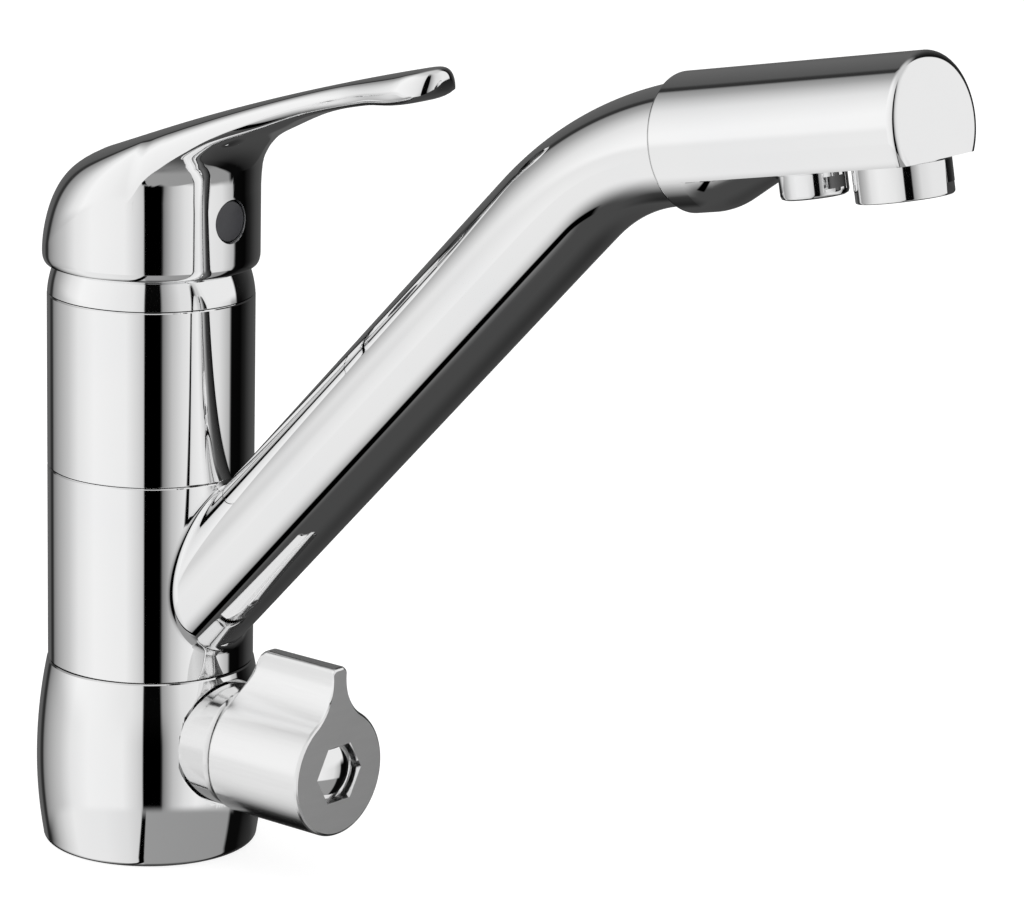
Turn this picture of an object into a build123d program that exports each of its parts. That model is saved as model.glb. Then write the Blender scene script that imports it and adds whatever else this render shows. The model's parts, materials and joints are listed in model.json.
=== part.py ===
from build123d import *
import os
from math import asin, atan, cos, pi, radians, sin, sqrt, tan

# Three way filtered water tap: a single lever mixer with a second valve for
# filtered water in its base and two outlets in the head of its spout.
# Millimetres. The origin is on the column's axis at the worktop, +Z is up, and
# the spout, the lever and the filter knob all point along +X at rest.

# --- column -----------------------------------------------------------------
column_radius = 25.0
base_height = 46.0
hub_height = 48.5
upper_height = 42.5
seam_gap = 0.15
seam_chamfer = 0.3
fit_gap = 0.05
running_gap = 0.1

# --- base -------------------------------------------------------------------
base_foot_radius = 26.2
base_belly_radius = 27.8
base_belly_height = 20.5
base_edge_round = 1.6
base_recess_radius = 19.5
base_recess_depth = 12.0
gasket_inner_radius = 21.0
gasket_outer_radius = 23.4
gasket_thickness = 1.6

# --- water ways -------------------------------------------------------------
inlet_thread_radius = 4.5
inlet_thread_depth = 9.0
inlet_x = -8.0
inlet_y = 9.0
filtered_inlet_x = 13.5
filtered_thread_depth = 6.5
stud_hole_radius = 3.4
stud_hole_depth = 11.0
water_bore = 3.2
filtered_bore = 2.5
mixed_bore_x = 9.5

# --- core that the spout's hub turns on ---------------------------------------
core_land_radius = 19.9
core_waist_radius = 16.0
core_foot_radius = 15.0
core_foot_depth = 6.4
core_spigot_radius = 16.5
core_spigot_height = 8.5
core_land_height = 5.0
middle_land_height = 4.0
filtered_chamber_height = 8.0
o_ring_section = 0.83
o_ring_groove_width = 2.2

# --- spout --------------------------------------------------------------------
hub_wall = 5.0
slip_ring_thickness = 1.5
slip_ring_outer_radius = 23.0
spout_radius = 13.7
spout_bore = 11.0
spout_root_x = 22.9
spout_root_lift = 24.3
spout_rise = 45.84
spout_run = 147.5
bend_radius = 65.0
mixed_port_lift = 16.0
mixed_port_radius = 6.0
filtered_tube_lift = 7.7
filtered_tube_radius = 3.0
filtered_tube_bore = 2.0
filtered_tube_elbow = 12.0

# --- head of the spout --------------------------------------------------------
head_radius = 15.4
head_length = 65.3
head_rise = 11.13
head_wall = 3.0
head_shoulder_round = 1.1
head_end_round = 2.2
head_spigot_radius = 12.6
head_spigot_length = 9.0
head_flat_depth = 7.4
nose_start = 6.0
nose_round = 18.0
nose_slope = 24.0
nose_fillet = 6.0
head_floor = 2.6

# --- outlets ------------------------------------------------------------------
main_outlet_place = 55.0
main_outlet_radius = 10.6
main_outlet_drop = 7.7
main_thread_radius = 8.9
filter_outlet_place = 31.8
filter_outlet_radius = 7.4
filter_outlet_drop = 6.2
filter_thread_radius = 5.6
outlet_neck = 2.4
outlet_wall = 1.5
outlet_chamfer = 0.8
outlet_seat_gap = 1.0
washer_thickness = 0.8
grid_recess = 0.6
spanner_flat_height = 2.6
spanner_flat_depth = 0.7
main_flat_turn = 22.0
filter_flat_turn = -13.0
filter_flat_lift = 1.8
filter_flange = 0.5
filter_flange_height = 0.8
filter_chamber_wall = 1.5

# --- mixing cartridge -----------------------------------------------------------
cartridge_radius = 17.5
cartridge_neck_radius = 14.5
cartridge_shoulder = 28.0
cartridge_top = 40.0
seal_thickness = 1.0
cartridge_floor = 6.9
ceramic_thickness = 4.0
fixed_disc_radius = 13.6
moving_disc_radius = 9.0
disc_gap = 0.05
carrier_height = 5.8
turret_radius = 10.9
turret_flange_radius = 13.8
turret_flange = 2.9
turret_top = 39.0
lever_pivot_drop = 2.0
lift_angle = 25.0
stem_half_width = 4.0
stem_top = 23.0
stem_arm = 11.0
stem_arm_radius = 1.9
stem_ball_radius = 2.4
pivot_pin_radius = 1.25
nut_radius = 18.4
nut_height = 9.5
nut_slots = 6

# --- domed collar and lever -----------------------------------------------------
dome_overhang = 0.75
dome_height = 10.0
dome_inner_radius = 18.9
# the level that the lever's outside is drawn from, before it is set on the column
lever_datum = 137.0
skirt_radius = 26.1
skirt_flare = 0.12
skirt_taper = 0.7
skirt_lift = 7.3
skirt_bottom_round = 2.6
skirt_wall = 1.8
skirt_inner_straight = 5.0
crest_lift = 38.2
crest_slope = 0.367
crest_sag = 0.0007
crown_radius = 75.0
back_fall = 13.0
arm_fall = 2.2
tip_fall = 2.6
top_sections = 24
waist_out = 38.0
waist_half = 6.0
pad_out = 56.0
pad_half = 7.6
arm_length = 65.0
neck_low = 21.3
neck_foot = 1.0
neck_foot_lift = 29.2
neck_bend = 5.0
neck_bend_lift = 38.0
arm_root = 14.6
arm_root_lift = 44.2
arm_middle = 27.7
arm_middle_lift = 50.0
arm_waist = 44.0
arm_waist_lift = 54.6
pad_belly = 52.0
pad_belly_lift = 55.5
pad_front = 60.5
pad_front_lift = 58.2
pad_edge_lift = 62.8
arm_edge_round = 1.2
lever_boss_radius = 8.5
lever_boss_lift = 14.0
lever_roof = 20.3
plug_radius = 4.9
plug_lift = 20.6
plug_thickness = 1.4
plug_recess = 0.3
grub_radius = 2.5
grub_length = 7.0

# --- filter valve and its knob ------------------------------------------------------
valve_drop = 16.7
valve_seat_depth = 4.4
valve_bore_end_x = 6.0
bonnet_radius = 14.8
bonnet_length = 9.9
bonnet_shank_radius = 9.5
bonnet_ring_outer = 14.2
bonnet_ring_inner = 12.6
bonnet_ring_depth = 0.9
bonnet_round = 2.2
disc_chamber_radius = 8.0
disc_chamber_depth = 9.0
filter_disc_radius = 7.8
filter_disc_thickness = 3.2
spindle_radius = 4.0
spindle_end_depth = 11.7
spindle_ring_radius = 7.8
knob_gap = 0.4
knob_length = 28.0
knob_radius = 15.4
knob_peak = 26.2
knob_peak_half = 1.7
knob_peak_round = 1.6
knob_flank_radius = 13.0
knob_rear_cone = 24.0
knob_edge = 0.5
knob_cavity_radius = 10.0
knob_cavity_depth = 8.0
cap_across_flats = 13.6
cap_recess_depth = 4.6
cap_gap = 0.8
cap_dome_radius = 14.0
knob_screw_radius = 2.0
knob_screw_head_radius = 4.2
knob_screw_head = 2.4
knob_screw_length = 12.0

# --- places that follow from the sizes above ----------------------------------------
hub_top = base_height + hub_height
upper_top = hub_top + upper_height
hub_bore = column_radius - hub_wall
seat_height = hub_top + core_spigot_height
spout_root_height = base_height + spout_root_lift
mixed_port_height = base_height + mixed_port_lift
filtered_tube_height = spout_root_height + filtered_tube_lift
lever_pivot_height = upper_top - lever_pivot_drop
skirt_inner_radius = skirt_radius - skirt_wall
dome_radius = skirt_inner_radius + dome_overhang
skirt_bottom = upper_top + skirt_lift
skirt_bottom_radius = skirt_radius - skirt_taper
crest_height = upper_top + crest_lift
waist_x = skirt_radius + waist_out
pad_x = skirt_radius + pad_out
lever_reach = skirt_radius + arm_length
lever_boss_bottom = upper_top + lever_boss_lift
plug_height = upper_top + plug_lift
valve_height = base_height - valve_drop
valve_seat_x = base_belly_radius - valve_seat_depth
bonnet_front_x = valve_seat_x + bonnet_length
knob_rear_x = bonnet_front_x + knob_gap
knob_face_x = knob_rear_x + knob_length
spindle_end_x = knob_face_x - spindle_end_depth
valve_plane = Plane(origin=(0, 0, valve_height), x_dir=(0, 1, 0), z_dir=(1, 0, 0))


def along(angle):
    """Unit direction in the symmetry plane at an angle above +X."""
    return cos(radians(angle)), sin(radians(angle))


def walk(point, angle, distance):
    """Point in the symmetry plane reached from another along a direction."""
    dx, dz = along(angle)
    return point[0] + distance * dx, point[1] + distance * dz


bend_start = walk((spout_root_x, spout_root_height), spout_rise, spout_run)
bend_centre = walk(bend_start, spout_rise - 90, bend_radius)
bend_end = walk(bend_centre, head_rise + 90, bend_radius)
head_x_dir = (cos(radians(head_rise)), 0, sin(radians(head_rise)))
head_z_dir = (-sin(radians(head_rise)), 0, cos(radians(head_rise)))
head_plane = Plane(origin=(bend_end[0], 0, bend_end[1]), x_dir=head_x_dir, z_dir=head_z_dir)


def rod(radius, low, high, x=0.0, y=0.0):
    """Upright cylinder between two heights."""
    height = high - low
    return Pos(x, y, low) * Cylinder(radius, height, align=(Align.CENTER, Align.CENTER, Align.MIN))


def ring(outer, inner, low, high):
    """Upright ring between two heights."""
    return rod(outer, low, high) - rod(inner, low - 1, high + 1)


def turned(*points):
    """Solid turned about Z from (radius, height) corners."""
    return revolve(Plane.XZ * make_face(Polyline(*points, close=True)), Axis.Z)


def o_ring(radius, section, height):
    """Round-section ring lying flat."""
    return Pos(0, 0, height) * Torus(radius, section)


def on_valve(shape):
    """Moves a shape from the upright frame to the filter valve's axis."""
    return valve_plane.location * shape


def on_head(shape):
    """Moves a shape into the head's frame: X along its axis, Z up through it."""
    return head_plane.location * shape


def along_x(shape):
    """Turns an upright shape so that its height runs along +X."""
    return Rot(0, 90, 0) * shape


def circles(count, radius):
    """Even places round a circle, as (x, y, angle)."""
    return [(radius * cos(2 * pi * i / count), radius * sin(2 * pi * i / count), 360 * i / count)
            for i in range(count)]


# --- base ---------------------------------------------------------------------------
def barrel_radius(height):
    """Radius of the base's bellied side at a height."""
    rise = base_height - base_belly_height
    bulge = base_belly_radius - column_radius - 0.2
    return base_belly_radius - bulge * ((height - base_belly_height) / rise) ** 2


def base_body():
    top_radius = barrel_radius(base_height)
    foot_corner = (base_foot_radius, base_edge_round)
    edge_middle = base_edge_round * (1 - sin(radians(45)))
    foot_middle = (base_foot_radius - edge_middle, edge_middle)
    outline = [
        Line((0, 0), (base_foot_radius - base_edge_round, 0)),
        ThreePointArc((base_foot_radius - base_edge_round, 0), foot_middle, foot_corner),
        ThreePointArc(foot_corner, (base_belly_radius, base_belly_height),
                      (top_radius, base_height - seam_chamfer)),
        Line((top_radius, base_height - seam_chamfer), (top_radius - seam_chamfer, base_height)),
        Line((top_radius - seam_chamfer, base_height), (0, base_height)),
        Line((0, base_height), (0, 0)),
    ]
    body = revolve(Plane.XZ * make_face(outline), Axis.Z)
    body -= rod(base_recess_radius, -1, base_recess_depth)
    body -= ring(gasket_outer_radius + fit_gap, gasket_inner_radius - fit_gap, -1, gasket_thickness)
    body -= rod(core_foot_radius + fit_gap, base_height - core_foot_depth, base_height + 1)
    spot_face = rod(bonnet_radius + seam_gap, valve_seat_x, base_belly_radius + 5)
    valve_bore = rod(bonnet_shank_radius + fit_gap, valve_bore_end_x, valve_seat_x + 1)
    outlet = rod(filtered_bore, 0, valve_bore_end_x + 1)
    seal_groove = ring(bonnet_ring_outer + fit_gap, bonnet_ring_inner - fit_gap,
                       valve_seat_x - bonnet_ring_depth, valve_seat_x + 1)
    body -= on_valve(spot_face + valve_bore + outlet + seal_groove)
    body -= rod(filtered_bore, valve_height, base_height)
    body -= rod(stud_hole_radius, base_recess_depth - 1, base_recess_depth + stud_hole_depth)
    thread_top = base_recess_depth + inlet_thread_depth
    for side in (1, -1):
        body -= rod(inlet_thread_radius, base_recess_depth - 1, thread_top, inlet_x, side * inlet_y)
        body -= rod(water_bore, thread_top - 1, base_height, inlet_x, side * inlet_y)
    filtered_thread_top = base_recess_depth + filtered_thread_depth
    body -= rod(inlet_thread_radius, base_recess_depth - 1, filtered_thread_top, filtered_inlet_x)
    body -= rod(filtered_bore, filtered_thread_top - 1, valve_height, filtered_inlet_x)
    return body


def base_gasket():
    return ring(gasket_outer_radius, gasket_inner_radius, 0, gasket_thickness)


# --- core -----------------------------------------------------------------------------
lower_land_top = base_height + core_land_height
filtered_chamber_top = filtered_tube_height + filtered_chamber_height / 2
filtered_chamber_bottom = filtered_tube_height - filtered_chamber_height / 2
hub_seal_heights = {
    "lower": base_height + slip_ring_thickness + o_ring_groove_width,
    "middle": filtered_chamber_bottom - middle_land_height / 2,
    "upper": hub_top - slip_ring_thickness - o_ring_groove_width,
}
hub_seal_radius = core_land_radius - o_ring_section - 0.02


def valve_core():
    land = core_land_radius - running_gap
    core = turned(
        (0, base_height - core_foot_depth), (core_foot_radius, base_height - core_foot_depth),
        (core_foot_radius, base_height), (land, base_height), (land, lower_land_top),
        (core_waist_radius, lower_land_top + 1), (core_waist_radius,
         filtered_chamber_bottom - middle_land_height - 1),
        (land, filtered_chamber_bottom - middle_land_height), (land, filtered_chamber_bottom),
        (core_waist_radius, filtered_chamber_bottom + 1),
        (core_waist_radius, filtered_chamber_top - 1),
        (land, filtered_chamber_top), (land, hub_top), (core_spigot_radius, hub_top),
        (core_spigot_radius, seat_height), (0, seat_height))
    for height in hub_seal_heights.values():
        core -= ring(land + 1, hub_seal_radius - o_ring_section - 0.02,
                     height - o_ring_groove_width / 2, height + o_ring_groove_width / 2)
    for side in (1, -1):
        core -= rod(water_bore, 0, seat_height + 1, inlet_x, side * inlet_y)
    core -= rod(water_bore, mixed_port_height - water_bore, seat_height + 1, mixed_bore_x)
    core -= Pos(mixed_bore_x, 0, mixed_port_height) * along_x(rod(water_bore, 0, core_land_radius))
    core -= rod(filtered_bore, 0, filtered_tube_height)
    core -= Pos(0, 0, filtered_tube_height) * along_x(rod(filtered_bore, 0, core_land_radius))
    return core


def hub_o_ring(name):
    return o_ring(hub_seal_radius, o_ring_section, hub_seal_heights[name])


def slip_ring(low):
    return ring(slip_ring_outer_radius, hub_bore + running_gap, low, low + slip_ring_thickness)


# --- spout ------------------------------------------------------------------------------
def spout_path(offset=0.0, extra=0.0, start=0.0):
    """Centre line of the spout, or a line beside it, from a distance up its root."""
    first = walk(walk((spout_root_x, spout_root_height), spout_rise, start), spout_rise + 90, offset)
    second = walk(bend_start, spout_rise + 90, offset)
    middle = walk(bend_centre, (spout_rise + head_rise) / 2 + 90, bend_radius + offset)
    third = walk(bend_end, head_rise + 90, offset)
    edges = [Line(first, second), ThreePointArc(second, middle, third)]
    if extra > 0:
        edges.append(Line(third, walk(third, head_rise, extra)))
    return edges


def swept(radius, edges):
    """Round bar along edges drawn in the symmetry plane."""
    path = Plane.XZ * Wire(edges)
    section = Plane(origin=path @ 0, z_dir=path % 0) * Circle(radius)
    return sweep(section, path=path)


def spout_arm():
    hub_low = base_height + seam_gap
    hub_high = hub_top - seam_gap
    hub = turned(
        (0, hub_low), (column_radius - seam_chamfer, hub_low),
        (column_radius, hub_low + seam_chamfer), (column_radius, hub_high - seam_chamfer),
        (column_radius - seam_chamfer, hub_high), (0, hub_high))
    arm = hub + swept(spout_radius, spout_path(start=-12.0))
    arm += on_head(along_x(rod(head_spigot_radius, 0, head_spigot_length)))
    water_way = swept(spout_bore, spout_path(extra=head_spigot_length + 1, start=-12.0))
    arm -= water_way - rod(column_radius - hub_wall / 2, 0, hub_top)
    arm -= rod(hub_bore, 0, hub_top + 1)
    for low in (base_height - 1, hub_top - slip_ring_thickness - fit_gap):
        arm -= rod(slip_ring_outer_radius + running_gap, low, low + slip_ring_thickness + 1 + fit_gap)
    arm -= Pos(0, 0, mixed_port_height) * along_x(rod(mixed_port_radius, hub_bore - 2, column_radius + 3))
    arm -= Pos(0, 0, filtered_tube_height) * along_x(
        rod(filtered_tube_radius + fit_gap, hub_bore - 2, column_radius + 3))
    seal_place = head_spigot_length / 2
    groove = ring(head_spigot_radius + 1, head_spigot_radius - 1.5, seal_place - 1, seal_place + 1)
    arm -= on_head(along_x(groove))
    return arm


def elbow_offset():
    """How far above the spout's centre line the filtered water tube runs."""
    corner_x = column_radius + 2.5
    across = (corner_x - spout_root_x) * -sin(radians(spout_rise))
    return corner_x, across + (filtered_tube_height - spout_root_height) * cos(radians(spout_rise))


def filtered_water_tube():
    corner_x, offset = elbow_offset()
    setback = filtered_tube_elbow * tan(radians(spout_rise / 2))
    corner = (corner_x, filtered_tube_height)
    level_end = (corner_x - setback, filtered_tube_height)
    rise_start = walk(corner, spout_rise, setback)
    elbow_centre = (level_end[0], filtered_tube_height + filtered_tube_elbow)
    elbow_middle = walk(elbow_centre, spout_rise / 2 - 90, filtered_tube_elbow)
    beside = spout_path(offset=offset, extra=filter_outlet_place - filter_thread_radius)
    edges = [
        Line((hub_bore + 0.6, filtered_tube_height), level_end),
        ThreePointArc(level_end, elbow_middle, rise_start),
        Line(rise_start, beside[1] @ 0),
        beside[1],
        beside[2],
    ]
    return swept(filtered_tube_radius, edges) - swept(filtered_tube_bore, edges)


def head_o_ring():
    place = head_spigot_length / 2
    return on_head(along_x(o_ring(head_spigot_radius - 0.68, 0.7, place)))


def head_nose():
    """Body of revolution that runs the head's round underside into its flat."""
    crest = (nose_start, head_radius)
    round_centre = (nose_start, head_radius - nose_round)
    round_middle = walk(round_centre, 90 - nose_slope / 2, nose_round)
    round_end = walk(round_centre, 90 - nose_slope, nose_round)
    foot = head_flat_depth - fit_gap
    drop = nose_fillet * (1 - cos(radians(nose_slope)))
    slope_end_x = round_end[0] + (round_end[1] - foot - drop) / tan(radians(nose_slope))
    fillet_centre = walk((slope_end_x, foot + drop), 90 - nose_slope, nose_fillet)
    fillet_middle = walk(fillet_centre, -90 - nose_slope / 2, nose_fillet)
    fillet_end = (fillet_centre[0], foot)
    outline = [
        Line((nose_start - 1, 0), (nose_start - 1, head_radius)),
        Line((nose_start - 1, head_radius), crest),
        ThreePointArc(crest, round_middle, round_end),
        Line(round_end, (slope_end_x, foot + drop)),
        ThreePointArc((slope_end_x, foot + drop), fillet_middle, fillet_end),
        Line(fillet_end, (fillet_end[0], 0)),
        Line((fillet_end[0], 0), (nose_start - 1, 0)),
    ]
    return revolve(Plane.XZ * make_face(outline), Axis.X)


def spout_head():
    """Cylinder with a flat cut under it for two outlets and a chamber for each."""
    outline = [
        Line((0, 0), (head_radius - head_shoulder_round, 0)),
        ThreePointArc((head_radius - head_shoulder_round, 0),
                      (head_radius - 0.29 * head_shoulder_round, 0.29 * head_shoulder_round),
                      (head_radius, head_shoulder_round)),
        Line((head_radius, head_shoulder_round), (head_radius, head_length - head_end_round)),
        ThreePointArc((head_radius, head_length - head_end_round),
                      (head_radius - 0.29 * head_end_round, head_length - 0.29 * head_end_round),
                      (head_radius - head_end_round, head_length)),
        Line((head_radius - head_end_round, head_length), (0, head_length)),
        Line((0, head_length), (0, 0)),
    ]
    head = along_x(revolve(Plane.XZ * make_face(outline), Axis.Z))
    beyond = head_length + 5
    under = Pos(nose_start, 0, -head_flat_depth) * Box(
        beyond - nose_start, head_radius * 3, head_radius,
        align=(Align.MIN, Align.CENTER, Align.MAX))
    head -= under - head_nose()
    head -= rod(filter_outlet_radius + outlet_seat_gap, -head_radius - 1, -head_flat_depth, filter_outlet_place)
    head -= along_x(rod(head_spigot_radius + fit_gap, -1, head_spigot_length + 0.2))
    ceiling = head_radius - head_wall
    cavity = along_x(rod(ceiling, head_spigot_length, head_length - head_wall))
    floor_level = head_floor - head_flat_depth
    cavity -= Pos(head_length / 2, 0, floor_level) * Box(
        head_length * 2, head_radius * 2, head_radius * 2, align=(Align.CENTER, Align.CENTER, Align.MAX))
    chamber_top = elbow_offset()[1] + filtered_tube_radius + 1
    cavity -= rod(filter_thread_radius + filter_chamber_wall, -head_radius,
                  chamber_top + filter_chamber_wall, filter_outlet_place)
    head -= cavity
    head -= rod(filter_thread_radius, -head_radius, chamber_top, filter_outlet_place)
    head -= rod(main_thread_radius, -head_radius, 0, main_outlet_place)
    head -= Pos(0, 0, elbow_offset()[1]) * along_x(
        rod(filtered_tube_radius + fit_gap, head_spigot_length + 0.1, filter_outlet_place))
    return on_head(head)


# --- outlets ------------------------------------------------------------------------------
def outlet_shell(place, radius, thread_radius, drop):
    """Screwed outlet: a turned rim with a neck that goes up into the head."""
    top = -head_flat_depth
    low = top - drop
    bore = thread_radius - outlet_wall
    grid_radius = radius - outlet_wall
    ledge = low + drop / 2
    shell = turned(
        (bore, top + outlet_neck), (thread_radius - fit_gap, top + outlet_neck),
        (thread_radius - fit_gap, top), (radius - seam_chamfer, top), (radius, top - seam_chamfer),
        (radius, low + outlet_chamfer), (radius - outlet_chamfer / 2, low), (grid_radius, low),
        (grid_radius, ledge), (bore, ledge))
    return Pos(place, 0, 0) * shell


def spanner_flats(place, radius, turn, low):
    """Two slabs that cut opposite flats into an outlet."""
    reach = radius * 2
    slabs = Part()
    for side in (1, -1):
        slabs += Pos(side * (radius - spanner_flat_depth + reach / 2), 0, low + spanner_flat_height / 2) * Box(
            reach, reach, spanner_flat_height)
    return Pos(place, 0, 0) * Rot(0, 0, turn) * slabs


def main_outlet_shell():
    low = -head_flat_depth - main_outlet_drop
    shell = outlet_shell(main_outlet_place, main_outlet_radius, main_thread_radius, main_outlet_drop)
    return on_head(shell - spanner_flats(main_outlet_place, main_outlet_radius, main_flat_turn, low))


def filter_outlet_shell():
    low = -head_flat_depth - filter_outlet_drop
    shell = outlet_shell(filter_outlet_place, filter_outlet_radius, filter_thread_radius, filter_outlet_drop)
    flange = ring(filter_outlet_radius + filter_flange, filter_thread_radius,
                  -head_flat_depth - filter_flange_height, -head_flat_depth)
    shell -= spanner_flats(filter_outlet_place, filter_outlet_radius, filter_flat_turn, low + filter_flat_lift)
    return on_head(shell + Pos(filter_outlet_place, 0, 0) * flange)


def outlet_grid(place, radius, drop):
    """Round insert with a grid of slots that the water runs through."""
    low = -head_flat_depth - drop + grid_recess
    high = -head_flat_depth - drop / 2 - washer_thickness - fit_gap
    grid = rod(radius - outlet_wall - fit_gap, low, high)
    pitch = radius / 3.2
    for row in range(-1, 2):
        for column in range(-1, 2):
            grid -= Pos(row * pitch, column * pitch, low) * Box(pitch * 0.6, pitch * 0.6, drop * 2)
    return on_head(Pos(place, 0, 0) * grid)


def outlet_washer(place, radius, thread_radius, drop):
    """Flat washer between the insert and the ledge of the shell."""
    high = -head_flat_depth - drop / 2
    outer = radius - outlet_wall - fit_gap
    washer = ring(outer, thread_radius - outlet_wall, high - washer_thickness, high)
    return on_head(Pos(place, 0, 0) * washer)


# --- upper body and cartridge -----------------------------------------------------------
def cartridge_height(offset):
    """Height above the worktop of a level measured from the cartridge's seat."""
    return seat_height + offset


shoulder_height = cartridge_height(cartridge_shoulder)
floor_top = cartridge_height(seal_thickness + cartridge_floor)
fixed_disc_top = floor_top + ceramic_thickness
moving_disc_top = fixed_disc_top + disc_gap + ceramic_thickness
carrier_top = moving_disc_top + carrier_height
turret_seat = carrier_top + disc_gap * 4 + turret_flange


def upper_body():
    low = hub_top
    body = turned(
        (core_spigot_radius + fit_gap, low), (column_radius - seam_chamfer, low),
        (column_radius, low + seam_chamfer), (column_radius, upper_top - seam_chamfer),
        (column_radius - seam_chamfer, upper_top), (nut_radius + fit_gap, upper_top),
        (nut_radius + fit_gap, shoulder_height), (cartridge_radius + running_gap, shoulder_height),
        (cartridge_radius + running_gap, seat_height), (core_spigot_radius + fit_gap, seat_height))
    return body


def cartridge_ports(radius, low, high):
    """The three ways through the cartridge's floor: hot, cold and mixed."""
    hot = rod(radius, low, high, inlet_x, inlet_y)
    cold = rod(radius, low, high, inlet_x, -inlet_y)
    return hot + cold + rod(radius, low, high, mixed_bore_x)


def cartridge_seals():
    seals = cartridge_ports(water_bore + 1.3, seat_height, cartridge_height(seal_thickness))
    return seals - cartridge_ports(water_bore + 0.1, 0, seat_height * 2)


def cartridge_base():
    low = cartridge_height(seal_thickness)
    plate = rod(cartridge_radius - fit_gap * 2, low, floor_top - 2)
    plate += rod(turret_flange_radius, floor_top - 2, floor_top)
    return plate - cartridge_ports(water_bore, 0, seat_height * 2)


def fixed_ceramic_disc():
    return rod(fixed_disc_radius, floor_top, fixed_disc_top) - cartridge_ports(water_bore, 0, seat_height * 2)


def moving_ceramic_disc():
    low = fixed_disc_top + disc_gap
    disc = rod(moving_disc_radius, low, moving_disc_top)
    return disc - Pos(0, 0, low) * Box(9, 5, ceramic_thickness)


def disc_carrier():
    """Slide that the lower end of the stem pushes."""
    carrier = rod(moving_disc_radius, moving_disc_top, carrier_top)
    half = stem_ball_radius + 0.3
    socket = lever_pivot_height - stem_arm - stem_ball_radius - 0.4
    return carrier - Pos(0, 0, socket) * Box(
        half * 2, half * 2, carrier_height * 2, align=(Align.CENTER, Align.CENTER, Align.MIN))


def cartridge_housing():
    top = cartridge_height(cartridge_top)
    chamber = turret_flange_radius + 0.2
    neck_bore = turret_radius + running_gap
    low = floor_top - 2
    return turned(
        (chamber, low), (cartridge_radius, low), (cartridge_radius, shoulder_height),
        (cartridge_neck_radius, shoulder_height), (cartridge_neck_radius, top), (neck_bore, top),
        (neck_bore, turret_seat + disc_gap), (chamber, turret_seat + disc_gap))


def cartridge_turret():
    """Turning holder of the stem, with a slot that the stem tilts in."""
    top = cartridge_height(turret_top)
    low = turret_seat - turret_flange
    turret = rod(turret_flange_radius, low, turret_seat) + rod(turret_radius, low, top)
    slot_back = stem_half_width + (top - lever_pivot_height) * sin(radians(lift_angle)) + 1
    slot_front = stem_arm_radius + (lever_pivot_height - low) * sin(radians(lift_angle)) + 1
    slot = Pos((slot_front - slot_back) / 2, 0, low - 1) * Box(
        slot_front + slot_back, 2 * (stem_half_width + 0.15), top - low + 2,
        align=(Align.CENTER, Align.CENTER, Align.MIN))
    return turret - slot - pin_bar(pivot_pin_radius + 0.02, turret_radius + 1)


def pin_bar(radius, half_length):
    """Bar along Y through the lever's pivot."""
    return Pos(0, 0, lever_pivot_height) * Rot(90, 0, 0) * Cylinder(radius, half_length * 2)


def pivot_pin():
    return pin_bar(pivot_pin_radius, turret_radius - 0.6)


def cartridge_stem():
    """Square bar above the pivot, round arm with a ball end below it."""
    side = 2 * stem_half_width
    low = lever_pivot_height - stem_half_width + 0.5
    bar = Pos(0, 0, low) * Box(side, side, lever_pivot_height + stem_top - low,
                               align=(Align.CENTER, Align.CENTER, Align.MIN))
    ball_height = lever_pivot_height - stem_arm
    arm = rod(stem_arm_radius, ball_height, low + 1)
    ball = Pos(0, 0, ball_height) * Sphere(stem_ball_radius)
    return bar + arm + ball - pin_bar(pivot_pin_radius + running_gap, side)


def retaining_nut():
    top = shoulder_height + nut_height
    nut = ring(nut_radius, cartridge_neck_radius + 0.15, shoulder_height, top)
    for x, y, angle in circles(nut_slots, nut_radius):
        nut -= Pos(x, y, top) * Rot(0, 0, angle) * Box(3.2, 3.0, 5.0)
    return nut


def dome_collar():
    """Ring whose outside is part of a ball about the lever's pivot."""
    low = upper_top
    ball = Pos(0, 0, lever_pivot_height) * Sphere(dome_radius)
    return ball & ring(column_radius + 1, dome_inner_radius, low, low + dome_height)


# --- lever --------------------------------------------------------------------------------
plan_radius = skirt_radius + skirt_flare
tangent_turn = asin(plan_radius / sqrt(waist_x ** 2 + waist_half ** 2)) + atan(waist_half / waist_x)
tangent_x = plan_radius * sin(tangent_turn)
tangent_half = plan_radius * cos(tangent_turn)


def hermite(x, start, end):
    """Smooth curve between two (place, value, slope) ends."""
    span = end[0] - start[0]
    t = (x - start[0]) / span
    rise = start[1] * (2 * t ** 3 - 3 * t ** 2 + 1) + end[1] * (3 * t ** 2 - 2 * t ** 3)
    return rise + span * (start[2] * (t ** 3 - 2 * t ** 2 + t) + end[2] * (t ** 3 - t ** 2))


def half_width(x):
    """Half the lever's width, seen from above: skirt, waist and finger pad."""
    if x < tangent_x:
        return sqrt(plan_radius ** 2 - x ** 2)
    if x < waist_x:
        return hermite(x, (tangent_x, tangent_half, -tan(tangent_turn)), (waist_x, waist_half, 0.0))
    if x < pad_x:
        return hermite(x, (waist_x, waist_half, 0.0), (pad_x, pad_half, 0.0))
    return pad_half


def lever_crest(x):
    """Height of the lever's top along its middle, as drawn, before its edges fall away."""
    return lever_datum + crest_lift + crest_slope * x - crest_sag * x ** 2


def edge_fall(x):
    """How far the top drops at its very edge beyond the crown: most at the back."""
    share = min(max((x + skirt_radius / 2) / (skirt_radius * 1.5), 0.0), 1.0)
    front = share ** 3 * (10 - 15 * share + 6 * share ** 2)
    return back_fall + (arm_fall - back_fall) * front


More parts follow.
